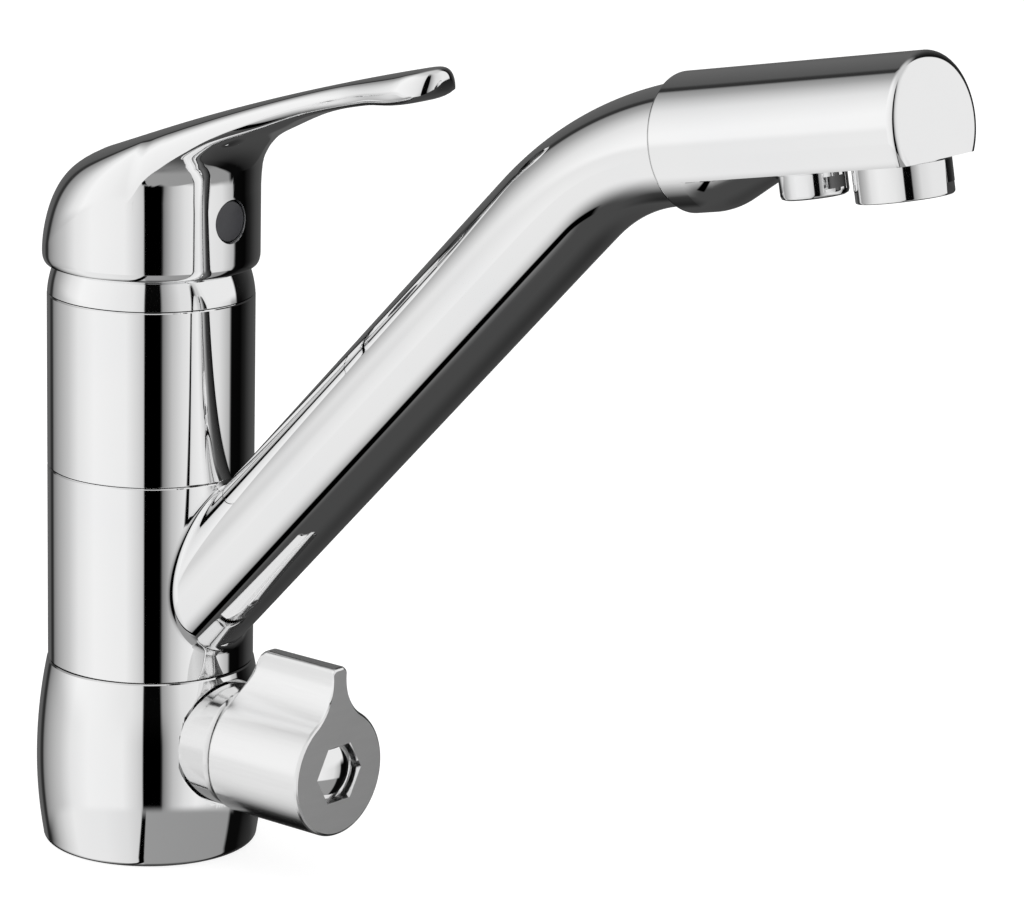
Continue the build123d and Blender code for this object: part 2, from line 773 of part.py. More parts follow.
def lever_top(x, y):
    """Height of the lever's outer top surface, as drawn."""
    if x < 0:
        share = sqrt(x ** 2 + y ** 2) / skirt_radius
        crown = (skirt_radius * share) ** 2 / (2 * crown_radius)
    else:
        share = abs(y) / half_width(x)
        crown = y ** 2 / (2 * crown_radius)
    tip = max(0.0, (x - pad_x) / (lever_reach - pad_x))
    fall = edge_fall(x) * share ** 8 / (0.8 + share ** 8 / 5)
    return lever_crest(x) - crown - fall - tip_fall * tip ** 4


def lever_top_block():
    """Solid under the lever's top surface, lofted along its length from even sections."""
    low = lever_datum + skirt_lift - 2 * skirt_radius
    back = -skirt_radius * 1.04
    sections = []
    for step in range(top_sections + 1):
        x = back + (lever_reach + 2 - back) * step / top_sections
        wide = half_width(max(x, 0.0)) * 1.05
        places = [wide * sin(pi / 2 * j / 7) for j in range(-7, 8)]
        top = [(y, lever_top(x, y)) for y in places]
        edges = [
            Spline(*top),
            Line(top[-1], (wide, low)),
            Line((wide, low), (-wide, low)),
            Line((-wide, low), top[0]),
        ]
        sections.append(Plane(origin=(x, 0, 0), x_dir=(0, 1, 0), z_dir=(1, 0, 0)) * make_face(edges))
    return loft(sections)


def lever_plan():
    """Outline of the lever seen from above."""
    places = [tangent_x + (waist_x - tangent_x) * step / 4 for step in range(5)]
    places += [(waist_x + pad_x) / 2, pad_x]
    side = [(x, half_width(x)) for x in places]
    upper = Spline(*side, tangents=[(cos(tangent_turn), -sin(tangent_turn)), (1, 0)])
    lower = Spline(*[(x, -y) for x, y in side], tangents=[(cos(tangent_turn), sin(tangent_turn)), (1, 0)])
    tip_x = pad_x + (lever_reach - pad_x) * 0.72
    tip_y = pad_half * 0.72
    upper_tip = Spline((pad_x, pad_half), (tip_x, tip_y), (lever_reach, 0), tangents=[(1, 0), (0, -1)])
    lower_tip = Spline((lever_reach, 0), (tip_x, -tip_y), (pad_x, -pad_half), tangents=[(0, -1), (-1, 0)])
    back = ThreePointArc((tangent_x, tangent_half), (-plan_radius, 0), (tangent_x, -tangent_half))
    return make_face([upper, upper_tip, lower_tip, lower, back])


def under_cutter():
    """Space under the lever and outside the skirt, turned about the column from the back."""
    skirt_end = lever_datum + skirt_lift
    low = skirt_end - 1
    wall_top = lever_datum + neck_low
    reach = lever_reach * 1.3
    top = lever_datum + crest_lift + reach / 2
    under = Spline(
        (skirt_radius, wall_top), (skirt_radius + neck_foot, lever_datum + neck_foot_lift),
        (skirt_radius + neck_bend, lever_datum + neck_bend_lift),
        (skirt_radius + arm_root, lever_datum + arm_root_lift),
        (skirt_radius + arm_middle, lever_datum + arm_middle_lift),
        (skirt_radius + arm_waist, lever_datum + arm_waist_lift),
        (skirt_radius + pad_belly, lever_datum + pad_belly_lift),
        (skirt_radius + pad_front, lever_datum + pad_front_lift),
        (lever_reach, lever_datum + pad_edge_lift), (reach, top),
        tangents=[(0, 1), (1, 0.8)])
    edges = [
        Line((skirt_bottom_radius, low), (skirt_bottom_radius, skirt_end)),
        ThreePointArc((skirt_bottom_radius, skirt_end),
                      (skirt_bottom_radius + 0.55, skirt_end + skirt_bottom_round * 0.45),
                      (skirt_radius, skirt_end + skirt_bottom_round)),
        Line((skirt_radius, skirt_end + skirt_bottom_round), (skirt_radius, wall_top)),
        under,
        Line((reach, top), (reach, low)),
        Line((reach, low), (skirt_bottom_radius, low)),
    ]
    return Rot(0, 0, 180) * revolve(Plane.XZ * make_face(edges), Axis.Z)


def lever_cavity():
    """Hollow of the skirt that clears the domed collar as the lever tilts."""
    inner = skirt_inner_radius
    roof = skirt_bottom + lever_roof
    straight = skirt_bottom + skirt_inner_straight
    side = [(inner * cos(turn), straight + (roof - straight) * sin(turn))
            for turn in [radians(15 * step) for step in range(6)]]
    return turned((0, skirt_bottom - 1), (inner, skirt_bottom - 1), *side, (0, roof))


def under_arm(place):
    """Whether a point lies on the lower edge of the lever's arm."""
    beside = place.X > skirt_radius + 1 and abs(place.Y) > pad_half / 4
    return beside and place.Z < lever_crest(place.X) - arm_fall - 1


def lever_handle():
    blank = extrude(lever_plan(), lever_reach)
    blank = Pos(0, 0, lever_datum + skirt_lift) * blank
    skin = blank & lever_top_block()
    skin -= under_cutter()
    skin = fillet([edge for edge in skin.edges() if under_arm(edge @ 0.5)], arm_edge_round)
    handle = Pos(0, 0, upper_top - lever_datum) * skin
    boss = rod(lever_boss_radius, lever_boss_bottom, crest_height) + Pos(0, 0, plug_height) * along_x(
        rod(grub_radius + 2.2, 0, skirt_radius - 1.5))
    handle -= lever_cavity() - boss
    side = 2 * (stem_half_width + fit_gap)
    handle -= Pos(0, 0, lever_boss_bottom - 1) * Box(
        side, side, lever_pivot_height + stem_top + 1.3 - lever_boss_bottom,
        align=(Align.CENTER, Align.CENTER, Align.MIN))
    handle -= Pos(0, 0, plug_height) * along_x(rod(grub_radius + fit_gap, 0, skirt_radius))
    plug_back = skirt_radius - plug_recess - plug_thickness - 0.2
    handle -= Pos(0, 0, plug_height) * along_x(rod(plug_radius + fit_gap * 2, plug_back, skirt_radius + 1))
    return handle


def handle_grub_screw():
    low = stem_half_width + fit_gap
    screw = rod(grub_radius, low, low + grub_length)
    key = Pos(0, 0, low + grub_length) * extrude(RegularPolygon(1.45, 6), 2.5, both=True)
    return Pos(0, 0, plug_height) * along_x(screw - key)


def index_plug():
    back = skirt_radius - plug_recess - plug_thickness - 0.2
    disc = rod(plug_radius, back, skirt_radius + 1)
    disc = Pos(0, 0, plug_height) * along_x(disc)
    return disc & rod(skirt_radius - plug_recess, plug_height - 8, plug_height + 8)


# --- filter valve ---------------------------------------------------------------------------
disc_chamber_end = valve_bore_end_x + 0.5 + disc_chamber_depth


def filter_bonnet():
    """Screwed body of the filter valve, with a round cover in front."""
    low = valve_bore_end_x + 0.5
    front = bonnet_front_x
    outline = [
        Line((disc_chamber_radius, low), (bonnet_shank_radius, low)),
        Line((bonnet_shank_radius, low), (bonnet_shank_radius, valve_seat_x)),
        Line((bonnet_shank_radius, valve_seat_x), (bonnet_radius, valve_seat_x)),
        Line((bonnet_radius, valve_seat_x), (bonnet_radius, front - bonnet_round)),
        ThreePointArc((bonnet_radius, front - bonnet_round),
                      (bonnet_radius - 0.29 * bonnet_round, front - 0.29 * bonnet_round),
                      (bonnet_radius - bonnet_round, front)),
        Line((bonnet_radius - bonnet_round, front), (spindle_radius + running_gap, front)),
        Line((spindle_radius + running_gap, front), (spindle_radius + running_gap, disc_chamber_end)),
        Line((spindle_radius + running_gap, disc_chamber_end), (disc_chamber_radius, disc_chamber_end)),
        Line((disc_chamber_radius, disc_chamber_end), (disc_chamber_radius, low)),
    ]
    bonnet = revolve(Plane.XZ * make_face(outline), Axis.Z)
    return on_valve(bonnet)


def half_disc_ports(radius, low, high):
    """Two opposite quarter openings through a ceramic disc."""
    ports = Part()
    for turn in (0, 180):
        wedge = make_face(Polyline((1.2, 1.2), (radius * 2, 1.2), (1.2, radius * 2), close=True))
        ports += Rot(0, 0, turn) * Pos(0, 0, low - 1) * extrude(wedge, high - low + 2)
    return ports & ring(radius, 1.4, low - 1, high + 1)


def filter_fixed_disc():
    low = valve_bore_end_x + 0.5
    high = low + filter_disc_thickness
    return on_valve(rod(filter_disc_radius, low, high) - half_disc_ports(6.2, low, high))


def filter_moving_disc():
    low = valve_bore_end_x + 0.5 + filter_disc_thickness + disc_gap
    high = low + filter_disc_thickness
    disc = rod(filter_disc_radius - 0.2, low, high)
    return on_valve(disc - Rot(0, 0, 90) * half_disc_ports(6.2, low, high))


def filter_spindle():
    """Turning spindle that carries the moving disc at one end and the knob at the other."""
    low = valve_bore_end_x + 0.5 + 2 * filter_disc_thickness + disc_gap
    flange_top = disc_chamber_end - disc_gap
    spindle = rod(spindle_ring_radius, low, flange_top) + rod(spindle_radius, low, spindle_end_x)
    groove = ring(spindle_radius + 1, spindle_radius - 1.1, bonnet_front_x - 6, bonnet_front_x - 4)
    bore = rod(knob_screw_radius + 0.02, spindle_end_x - knob_screw_length, spindle_end_x + 1)
    return on_valve(spindle - groove - bore)


def spindle_o_ring():
    return on_valve(o_ring(spindle_radius - 0.5, 0.56, bonnet_front_x - 5))


def bonnet_o_ring():
    """Seal round the valve's shank where it enters the base."""
    return on_valve(ring(bonnet_ring_outer, bonnet_ring_inner, valve_seat_x - bonnet_ring_depth, valve_seat_x))


def knob_outline():
    """Circle with one peak: concave flanks run from the circle to a narrow top."""
    gap = knob_radius + knob_flank_radius
    side_x = knob_peak_half + knob_flank_radius + 0.6
    side_z = sqrt(gap ** 2 - side_x ** 2)
    share = knob_radius / gap
    touch = (side_x * share, side_z * share)
    lean = radians(6)
    leave = (side_x - knob_flank_radius * cos(lean), side_z + knob_flank_radius * sin(lean))
    turn = (atan((side_z - touch[1]) / (side_x - touch[0])) - lean) / 2
    middle_angle = pi + turn
    middle = (side_x + knob_flank_radius * cos(middle_angle), side_z + knob_flank_radius * sin(middle_angle))
    crown = (0, knob_peak)
    corner = (knob_peak_half, knob_peak - 0.5)
    right = [touch, middle, leave, corner]
    left = [(-x, z) for x, z in right]
    return make_face([
        ThreePointArc(*right[:3]),
        Line(leave, corner),
        ThreePointArc(corner, crown, left[3]),
        Line(left[3], left[2]),
        ThreePointArc(left[2], left[1], left[0]),
        ThreePointArc(left[0], (0, -knob_radius), touch),
    ])


def filter_knob():
    length = knob_face_x - knob_rear_x
    body = Pos(0, 0, knob_rear_x) * extrude(knob_outline(), length)
    body = chamfer(body.faces().sort_by(Axis.Z)[-1].edges(), knob_edge)
    cone = radians(knob_rear_cone)
    round_radius = knob_peak - knob_peak_round
    round_x = knob_rear_x + (round_radius - knob_radius) * tan(cone)
    peak_round = [(round_radius + knob_peak_round * sin(turn),
                   round_x + knob_peak_round * (1 - cos(turn)) + knob_peak_round * tan(cone) * sin(turn))
                  for turn in [pi / 12 * step for step in range(7)]]
    peak_round.append((knob_peak + 3, peak_round[-1][1]))
    rear = turned(
        (knob_radius, knob_rear_x - 1), (knob_radius, knob_rear_x),
        *peak_round, (knob_peak + 3, knob_rear_x - 1))
    body -= rear
    body -= ring(knob_cavity_radius, spindle_radius + 2.5, knob_rear_x - 1, knob_rear_x + knob_cavity_depth)
    body -= rod(spindle_radius + fit_gap, knob_rear_x - 1, spindle_end_x + 0.2)
    body -= rod(knob_screw_radius + 0.2, spindle_end_x, knob_face_x + 1)
    hexagon = RegularPolygon(cap_across_flats / 2 / cos(pi / 6), 6)
    body -= Pos(0, 0, knob_face_x - cap_recess_depth) * extrude(hexagon, cap_recess_depth + 1)
    head_low = knob_face_x - cap_recess_depth - knob_screw_head
    body -= rod(knob_screw_head_radius + 0.1, head_low, knob_face_x)
    return on_valve(body)


def knob_screw():
    high = knob_face_x - cap_recess_depth
    low = high - knob_screw_head
    screw = rod(knob_screw_head_radius, low, high - 0.1)
    screw += rod(knob_screw_radius, spindle_end_x - knob_screw_length + 1, low)
    return on_valve(screw - Pos(0, 0, high) * extrude(RegularPolygon(1.8, 6), 1.6, both=True))


def knob_cap():
    """Hexagonal cap with a domed front that hides the knob's screw."""
    hexagon = RegularPolygon((cap_across_flats / 2 - cap_gap) / cos(pi / 6), 6)
    low = knob_face_x - cap_recess_depth
    cap = Pos(0, 0, low) * extrude(hexagon, cap_recess_depth)
    dome = Pos(0, 0, knob_face_x - cap_dome_radius) * Sphere(cap_dome_radius)
    return on_valve(cap & dome)


# --- every piece, by the name of its node -----------------------------------------------------
pieces = {
    "base_body": base_body(),
    "base_gasket": base_gasket(),
    "valve_core": valve_core(),
    "lower_hub_o_ring": hub_o_ring("lower"),
    "middle_hub_o_ring": hub_o_ring("middle"),
    "upper_hub_o_ring": hub_o_ring("upper"),
    "lower_slip_ring": slip_ring(base_height),
    "upper_slip_ring": slip_ring(hub_top - slip_ring_thickness),
    "spout_arm": spout_arm(),
    "filtered_water_tube": filtered_water_tube(),
    "head_o_ring": head_o_ring(),
    "spout_head": spout_head(),
    "main_outlet_shell": main_outlet_shell(),
    "main_outlet_grid": outlet_grid(main_outlet_place, main_outlet_radius, main_outlet_drop),
    "main_outlet_washer": outlet_washer(
        main_outlet_place, main_outlet_radius, main_thread_radius, main_outlet_drop),
    "filter_outlet_shell": filter_outlet_shell(),
    "filter_outlet_grid": outlet_grid(filter_outlet_place, filter_outlet_radius, filter_outlet_drop),
    "filter_outlet_washer": outlet_washer(
        filter_outlet_place, filter_outlet_radius, filter_thread_radius, filter_outlet_drop),
    "upper_body": upper_body(),
    "cartridge_seals": cartridge_seals(),
    "cartridge_base": cartridge_base(),
    "cartridge_housing": cartridge_housing(),
    "fixed_ceramic_disc": fixed_ceramic_disc(),
    "moving_ceramic_disc": moving_ceramic_disc(),
    "disc_carrier": disc_carrier(),
    "cartridge_turret": cartridge_turret(),
    "pivot_pin": pivot_pin(),
    "cartridge_stem": cartridge_stem(),
    "retaining_nut": retaining_nut(),
    "dome_collar": dome_collar(),
    "lever_handle": lever_handle(),
    "handle_grub_screw": handle_grub_screw(),
    "index_plug": index_plug(),
    "filter_bonnet": filter_bonnet(),
    "bonnet_o_ring": bonnet_o_ring(),
    "filter_fixed_disc": filter_fixed_disc(),
    "filter_moving_disc": filter_moving_disc(),
    "filter_spindle": filter_spindle(),
    "spindle_o_ring": spindle_o_ring(),
    "filter_knob": filter_knob(),
    "knob_screw": knob_screw(),
    "knob_cap": knob_cap(),
}

os.makedirs("parts", exist_ok=True)
for node, shape in pieces.items():
    export_step(shape, f"parts/{node}.step")
    print(node, "volume", round(shape.volume, 1))
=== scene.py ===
import bpy
import bmesh
import json
from math import asin, atan, atan2, cos, degrees, hypot, pi, radians, sin, sqrt, tan
from mathutils import Matrix, Vector


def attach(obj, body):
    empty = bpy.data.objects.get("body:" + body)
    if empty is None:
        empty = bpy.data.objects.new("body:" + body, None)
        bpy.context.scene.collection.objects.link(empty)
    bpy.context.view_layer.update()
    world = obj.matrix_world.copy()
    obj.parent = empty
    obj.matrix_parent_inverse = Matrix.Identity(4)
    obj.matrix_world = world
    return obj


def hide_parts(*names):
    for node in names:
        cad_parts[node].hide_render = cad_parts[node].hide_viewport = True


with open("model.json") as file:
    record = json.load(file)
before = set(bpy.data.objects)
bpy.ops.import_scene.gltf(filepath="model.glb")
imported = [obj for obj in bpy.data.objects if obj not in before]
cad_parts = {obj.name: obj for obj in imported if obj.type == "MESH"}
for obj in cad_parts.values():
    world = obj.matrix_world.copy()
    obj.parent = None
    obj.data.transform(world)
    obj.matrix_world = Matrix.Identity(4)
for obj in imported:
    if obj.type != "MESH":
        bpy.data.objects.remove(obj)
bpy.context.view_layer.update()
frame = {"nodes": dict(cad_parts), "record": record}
scene = bpy.context.scene
mm = 0.001
print("frame loaded,", len(frame["nodes"]), "nodes")

# sizes in millimetres that more than one piece shares, the same as the solid model's
column = {"radius": 25.0, "hubLow": 46.0, "hubHigh": 94.5, "top": 137.0, "gap": 0.15, "chamfer": 0.3,
          "around": 192}
spout = {"radius": 13.7, "rootX": 22.9, "rootZ": 70.3, "rise": 45.84, "run": 147.5, "bend": 65.0,
         "topBend": 100.0, "lowBend": 40.0, "bendSteps": 36, "around": 160, "blend": 1.5, "blendTop": 2.6,
         "blendSteps": 7, "hubBore": 20.0, "tuck": 0.93, "level": 6.0, "straight": (60, 85, 110),
         "intoHead": 0.6}
head = {"radius": 15.4, "length": 65.3, "rise": 11.13, "shoulder": 1.1, "end": 2.2, "flat": 7.4,
        "noseStart": 6.0, "noseRound": 18.0, "noseSlope": 24.0, "noseFillet": 6.0, "edge": 0.35,
        "seatGap": 1.0, "around": 224}
valve = {"z": 29.3, "seat": 23.4, "radius": 14.8, "front": 33.3, "round": 2.2, "seatGap": 0.45}


def along(angle):
    # direction in the tap's middle plane, in degrees above level
    return Vector((cos(radians(angle)), 0, sin(radians(angle))))


def frameAt(place, xAxis, yAxis, zAxis):
    turn = Matrix((xAxis, yAxis, zAxis)).transposed().to_4x4()
    return Matrix.Translation(Vector(place) * mm) @ turn


spoutRoot = Vector((spout["rootX"], 0, spout["rootZ"]))
bendStart = spoutRoot + along(spout["rise"]) * spout["run"]
bendCentre = bendStart + along(spout["rise"] - 90) * spout["bend"]
bendEnd = bendCentre + along(head["rise"] + 90) * spout["bend"]
valveFrame = frameAt((0, 0, valve["z"]), (0, 1, 0), (0, 0, 1), (1, 0, 0))
headFrame = frameAt(bendEnd, along(head["rise"]), (0, 1, 0), along(head["rise"] + 90))
headTurned = frameAt(bendEnd, (0, 1, 0), along(head["rise"] + 90), along(head["rise"]))


# a socket that can stand in a sum
class Wire:
    def __init__(self, paint, socket):
        self.paint = paint
        self.socket = socket

    def output(self, name):
        return Wire(self.paint, self.socket.node.outputs[name])

    def __add__(self, other):
        return self.paint.maths("ADD", self, other)

    def __sub__(self, other):
        return self.paint.maths("SUBTRACT", self, other)

    def __rsub__(self, other):
        return self.paint.maths("SUBTRACT", other, self)

    def __mul__(self, other):
        return self.paint.maths("MULTIPLY", self, other)

    def __truediv__(self, other):
        return self.paint.maths("DIVIDE", self, other)

    def __rtruediv__(self, other):
        return self.paint.maths("DIVIDE", other, self)

    __radd__ = __add__
    __rmul__ = __mul__


# a node tree that is built up by expressions
class Paint:
    def __init__(self, tree):
        self.tree = tree
        tree.nodes.clear()

    def node(self, kind, settings=None, inputs=None, out=0):
        made = self.tree.nodes.new(kind)
        for key, value in (settings or {}).items():
            if key == "stops":
                self.setStops(made.color_ramp, value)
            else:
                setattr(made, key, value)
        for key, value in (inputs or {}).items():
            if isinstance(value, Wire):
                self.tree.links.new(value.socket, made.inputs[key])
            else:
                made.inputs[key].default_value = value
        return Wire(self, made.outputs[out]) if made.outputs else made

    def setStops(self, ramp, stops):
        for number, (place, level) in enumerate(stops):
            if number > 1:  # a new ramp has two stops already
                ramp.elements.new(place)
            ramp.elements[number].position = place
            ramp.elements[number].color = evenColour(level)

    def maths(self, operation, first, second=0.0):
        return self.node("ShaderNodeMath", {"operation": operation}, {0: first, 1: second})

    def between(self, value, low, high):
        # 0 at low and 1 at high, with a soft change
        return self.node("ShaderNodeMapRange", {"interpolation_type": "SMOOTHSTEP"},
                         {0: value, 1: low, 2: high})

    def noise(self, place, scale, detail=3.0, rough=0.5):
        return self.node("ShaderNodeTexNoise", {},
                         {"Vector": place, "Scale": scale, "Detail": detail, "Roughness": rough})

    def mixed(self, share, first, second):
        return self.node("ShaderNodeMix", {"data_type": "RGBA"}, {0: share, 6: first, 7: second}, 2)

    def bump(self, strength, distance, height):
        return self.node("ShaderNodeBump", {}, {"Strength": strength, "Distance": distance, "Height": height})


def evenColour(level):
    return (level, level, level, 1)


def linear(level):
    # screen grey as light
    return ((level + 0.055) / 1.055) ** 2.4 if level > 0.04045 else level / 12.92


# materials
def newMaterial(name, look):
    material = bpy.data.materials.new(name)
    material.use_nodes = True
    paint = Paint(material.node_tree)
    sockets = look(paint, paint.node("ShaderNodeTexCoord", out="Object"))
    shader = paint.node("ShaderNodeBsdfPrincipled", {}, sockets)
    paint.node("ShaderNodeOutputMaterial", {}, {"Surface": shader})
    return material


def polishedLook(tone, smoothest, dullest):
    def look(paint, place):
        # plating is a shade uneven, and a thin film of handling dulls it in soft patches
        share = paint.between(paint.noise(place, 38.0, 4.0), 0.35, 0.75)
        handled = (tone * 0.985, tone * 0.987, tone * 0.992, 1)
        return {"Base Color": paint.mixed(share, evenColour(tone), handled), "Metallic": 1.0,
                "Roughness": smoothest + share * (dullest - smoothest),
                "Normal": paint.bump(0.012, 0.00002, paint.noise(place, 900.0, 2.0))}
    return look


def satinLook(tone, rough, grain):
    def look(paint, place):
        # brush strokes, drawn out along the axis on which grain is small
        stretched = paint.node("ShaderNodeMapping", {}, {"Vector": place, "Scale": grain})
        strokes = paint.noise(stretched, 900.0, 4.0, 0.65)
        share = paint.between(strokes, 0.3, 0.7)
        return {"Base Color": paint.mixed(share, evenColour(tone * 0.97), evenColour(tone)), "Metallic": 1.0,
                "Roughness": rough + share * 0.06, "Normal": paint.bump(0.05, 0.00002, strokes)}
    return look


def plainLook(colour, rough, metallic=0.0, scale=260.0, relief=0.08):
    def look(paint, place):
        grain = paint.noise(place, scale, 5.0)
        share = paint.between(grain, 0.3, 0.7)
        darker = tuple(part * 0.9 for part in colour)
        return {"Base Color": paint.mixed(share, (*darker, 1), (*colour, 1)), "Metallic": metallic,
                "Roughness": rough + share * 0.08, "Normal": paint.bump(relief, 0.00005, grain)}
    return look


def floorLook(paint, place):
    # painted board that glows enough to lose nearly all of the shadow
    share = paint.between(paint.noise(place, 3.0, 2.0), 0.2, 0.8)
    return {"Base Color": paint.mixed(share, evenColour(0.37), evenColour(0.375)), "Roughness": 0.8,
            "Emission Color": paint.mixed(share, evenColour(0.945), evenColour(0.95)),
            "Emission Strength": 0.8}


materials = {
    "chrome": newMaterial("polishedChrome", polishedLook(0.96, 0.015, 0.045)),
    "brass_plated": newMaterial("turnedChrome", polishedLook(0.93, 0.03, 0.07)),
    "satin": newMaterial("satinChrome", satinLook(0.95, 0.16, (0.05, 1.0, 1.0))),
    "satinFace": newMaterial("satinFace", satinLook(0.66, 0.3, (1.0, 0.15, 1.0))),
    "bonnet": newMaterial("bonnetChrome", satinLook(0.86, 0.1, (0.1, 1.0, 1.0))),
    "brass": newMaterial("rawBrass", plainLook((0.72, 0.53, 0.25), 0.3, 1.0)),
    "steel": newMaterial("screwSteel", plainLook((0.55, 0.55, 0.57), 0.28, 1.0, 700.0)),
    "rubber": newMaterial("sealRubber", plainLook((0.025, 0.025, 0.027), 0.6)),
    "white_plastic": newMaterial("whiteAcetal", plainLook((0.80, 0.80, 0.77), 0.4)),
    "grey_plastic": newMaterial("plugPlastic", plainLook((0.045, 0.045, 0.05), 0.16, 0.0, 180.0, 0.03)),
    "ceramic": newMaterial("lappedCeramic", plainLook((0.86, 0.85, 0.81), 0.14)),
    "hose": newMaterial("tubePlastic", plainLook((0.72, 0.75, 0.78), 0.35)),
    "floor": newMaterial("paleFloor", floorLook),
}
print("materials ready")


# curves and outlines
def ease(value, low, high):
    t = min(max((value - low) / (high - low), 0.0), 1.0)
    return t * t * (3 - 2 * t)


def cubic(t, span, ends, slopes):
    # value a share t of the way along a span whose two values and slopes are known
    return (ends[0] * (2 * t ** 3 - 3 * t ** 2 + 1) + ends[1] * (3 * t ** 2 - 2 * t ** 3)
            + span * (slopes[0] * (t ** 3 - 2 * t ** 2 + t) + slopes[1] * (t ** 3 - t ** 2)))


def arc(centre, radius, first, last, steps):
    turns = [radians(first + (last - first) * step / steps) for step in range(steps + 1)]
    return [Vector((centre[0] + radius * cos(turn), centre[1] + radius * sin(turn))) for turn in turns]


def rounded(corners, steps=8):
    # an outline whose corners (x, y, radius) turn on arcs
    points = []
    for number, corner in enumerate(corners):
        here = Vector(corner[:2])
        if len(corner) < 3:
            points.append(here)
            continue
        radius = corner[2]
        toLast = (Vector(corners[number - 1][:2]) - here).normalized()
        toNext = (Vector(corners[number + 1][:2]) - here).normalized()
        half = toLast.angle(toNext) / 2
        centre = here + (toLast + toNext).normalized() * (radius / sin(half))
        start = here + toLast * (radius / tan(half)) - centre
        end = here + toNext * (radius / tan(half)) - centre
        for step in range(steps + 1):
            points.append(centre + start.slerp(end, step / steps) * radius)
    return points


def hexagon(acrossFlats):
    reach = acrossFlats / 2 / cos(pi / 6)
    return [(reach * cos(pi / 3 * side), reach * sin(pi / 3 * side)) for side in range(6)]


# meshes
def turnedMesh(outline, closed=False, around=160):
    # spins (radius, height) points about Z
    bm = bmesh.new()
    verts = [bm.verts.new((point[0] * mm, 0, point[1] * mm)) for point in outline]
    ends = verts[1:] + (verts[:1] if closed else [])
    edges = [bm.edges.new(pair) for pair in zip(verts, ends)]
    bmesh.ops.spin(bm, geom=verts + edges, cent=(0, 0, 0), axis=(0, 0, 1), angle=2 * pi,
                   steps=around, use_merge=True)
    bmesh.ops.remove_doubles(bm, verts=bm.verts, dist=1e-7)
    bmesh.ops.dissolve_degenerate(bm, edges=bm.edges, dist=1e-8)
    bmesh.ops.recalc_face_normals(bm, faces=bm.faces)
    return bm


def roundBar(radius, low, high, around):
    return turnedMesh([(0, low), (radius, low), (radius, high), (0, high)], around=around)


def addBlock(bm, size, middle):
    made = bmesh.ops.create_cube(bm, size=1.0)["verts"]
    bmesh.ops.scale(bm, verts=made, vec=[part * mm for part in size])
    bmesh.ops.translate(bm, verts=made, vec=[part * mm for part in middle])


def ringOf(bm, points):
    verts = [bm.verts.new(Vector(point) * mm) for point in points]
    return [bm.edges.new(pair) for pair in zip(verts, verts[1:] + verts[:1])]


def skinRings(bm, rings):
    # bridges each ring of edges to the next one, and closes both ends
    for first, second in zip(rings, rings[1:]):
        bmesh.ops.bridge_loops(bm, edges=first + second)
    for ring in (rings[0], rings[-1]):
        bmesh.ops.contextual_create(bm, geom=ring)
    bmesh.ops.recalc_face_normals(bm, faces=bm.faces)


def prism(points, low, high):
    # flat outline in X and Y carried from one height to another
    bm = bmesh.new()
    ring = ringOf(bm, [(point[0], point[1], low) for point in points])
    face = bmesh.ops.contextual_create(bm, geom=ring)["faces"]
    grown = bmesh.ops.extrude_face_region(bm, geom=face)
    lifted = [item for item in grown["geom"] if isinstance(item, bmesh.types.BMVert)]
    bmesh.ops.translate(bm, verts=lifted, vec=(0, 0, (high - low) * mm))
    bmesh.ops.recalc_face_normals(bm, faces=bm.faces)
    return bm


def addMesh(bm, other):
    # puts the other bmesh into this one, and frees it
    spare = bpy.data.meshes.new("spare")
    other.to_mesh(spare)
    other.free()
    bm.from_mesh(spare)
    bpy.data.meshes.remove(spare)


def newObject(name, bm, place=None):
    if place is not None:
        bm.transform(place)
    mesh = bpy.data.meshes.new(name)
    bm.to_mesh(mesh)
    bm.free()
    made = bpy.data.objects.new(name, mesh)
    scene.collection.objects.link(made)
    return made


def cutAway(piece, cutter, operation="DIFFERENCE"):
    # takes one mesh from another and keeps the result as plain mesh
    change = piece.modifiers.new("cut", "BOOLEAN")
    change.operation = operation
    change.solver = "EXACT"
    change.object = cutter
    graph = bpy.context.evaluated_depsgraph_get()
    result = bpy.data.meshes.new_from_object(piece.evaluated_get(graph))
    piece.modifiers.clear()
    piece.data = result
    bpy.data.objects.remove(cutter)


def softenEdges(piece, width, chosen, segments=3):
    bm = bmesh.new()
    bm.from_mesh(piece.data)
    edges = [edge for edge in bm.edges if len(edge.link_faces) == 2 and chosen(edge)]
    bmesh.ops.bevel(bm, geom=edges, offset=width * mm, offset_type="OFFSET", segments=segments, profile=0.5,
                    affect="EDGES", clamp_overlap=True, material=-1)
    bm.to_mesh(piece.data)
    bm.free()


def finishPiece(piece, body, slot, node, material=None, sharpAngle=32):
    # smooth shading, the material, and what ties the piece to the model
    for face in piece.data.polygons:
        face.use_smooth = True
    piece.data.set_sharp_from_angle(angle=radians(sharpAngle))
    even = piece.modifiers.new("evenNormals", "WEIGHTED_NORMAL")
    even.weight = 100
    even.keep_sharp = True
    piece.data.materials.clear()
    piece.data.materials.append(materials[material or slot])
    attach(piece, body)
    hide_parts(node)


# foot of the column; each inlet is its x, y, radius and depth
base = {"foot": 26.2, "belly": 27.8, "bellyZ": 20.5, "bellySteps": 40, "lip": 0.2, "edge": 1.6,
        "recess": 19.5, "recessTop": 12.0, "grooveInside": 20.95, "grooveOutside": 23.45, "grooveDepth": 1.6,
        "seatRound": 0.6, "around": 224,
        "inlets": ((-8.0, 9.0, 4.5, 9.0), (-8.0, -9.0, 4.5, 9.0), (13.5, 0.0, 4.5, 6.5),
                   (0.0, 0.0, 3.4, 11.0))}


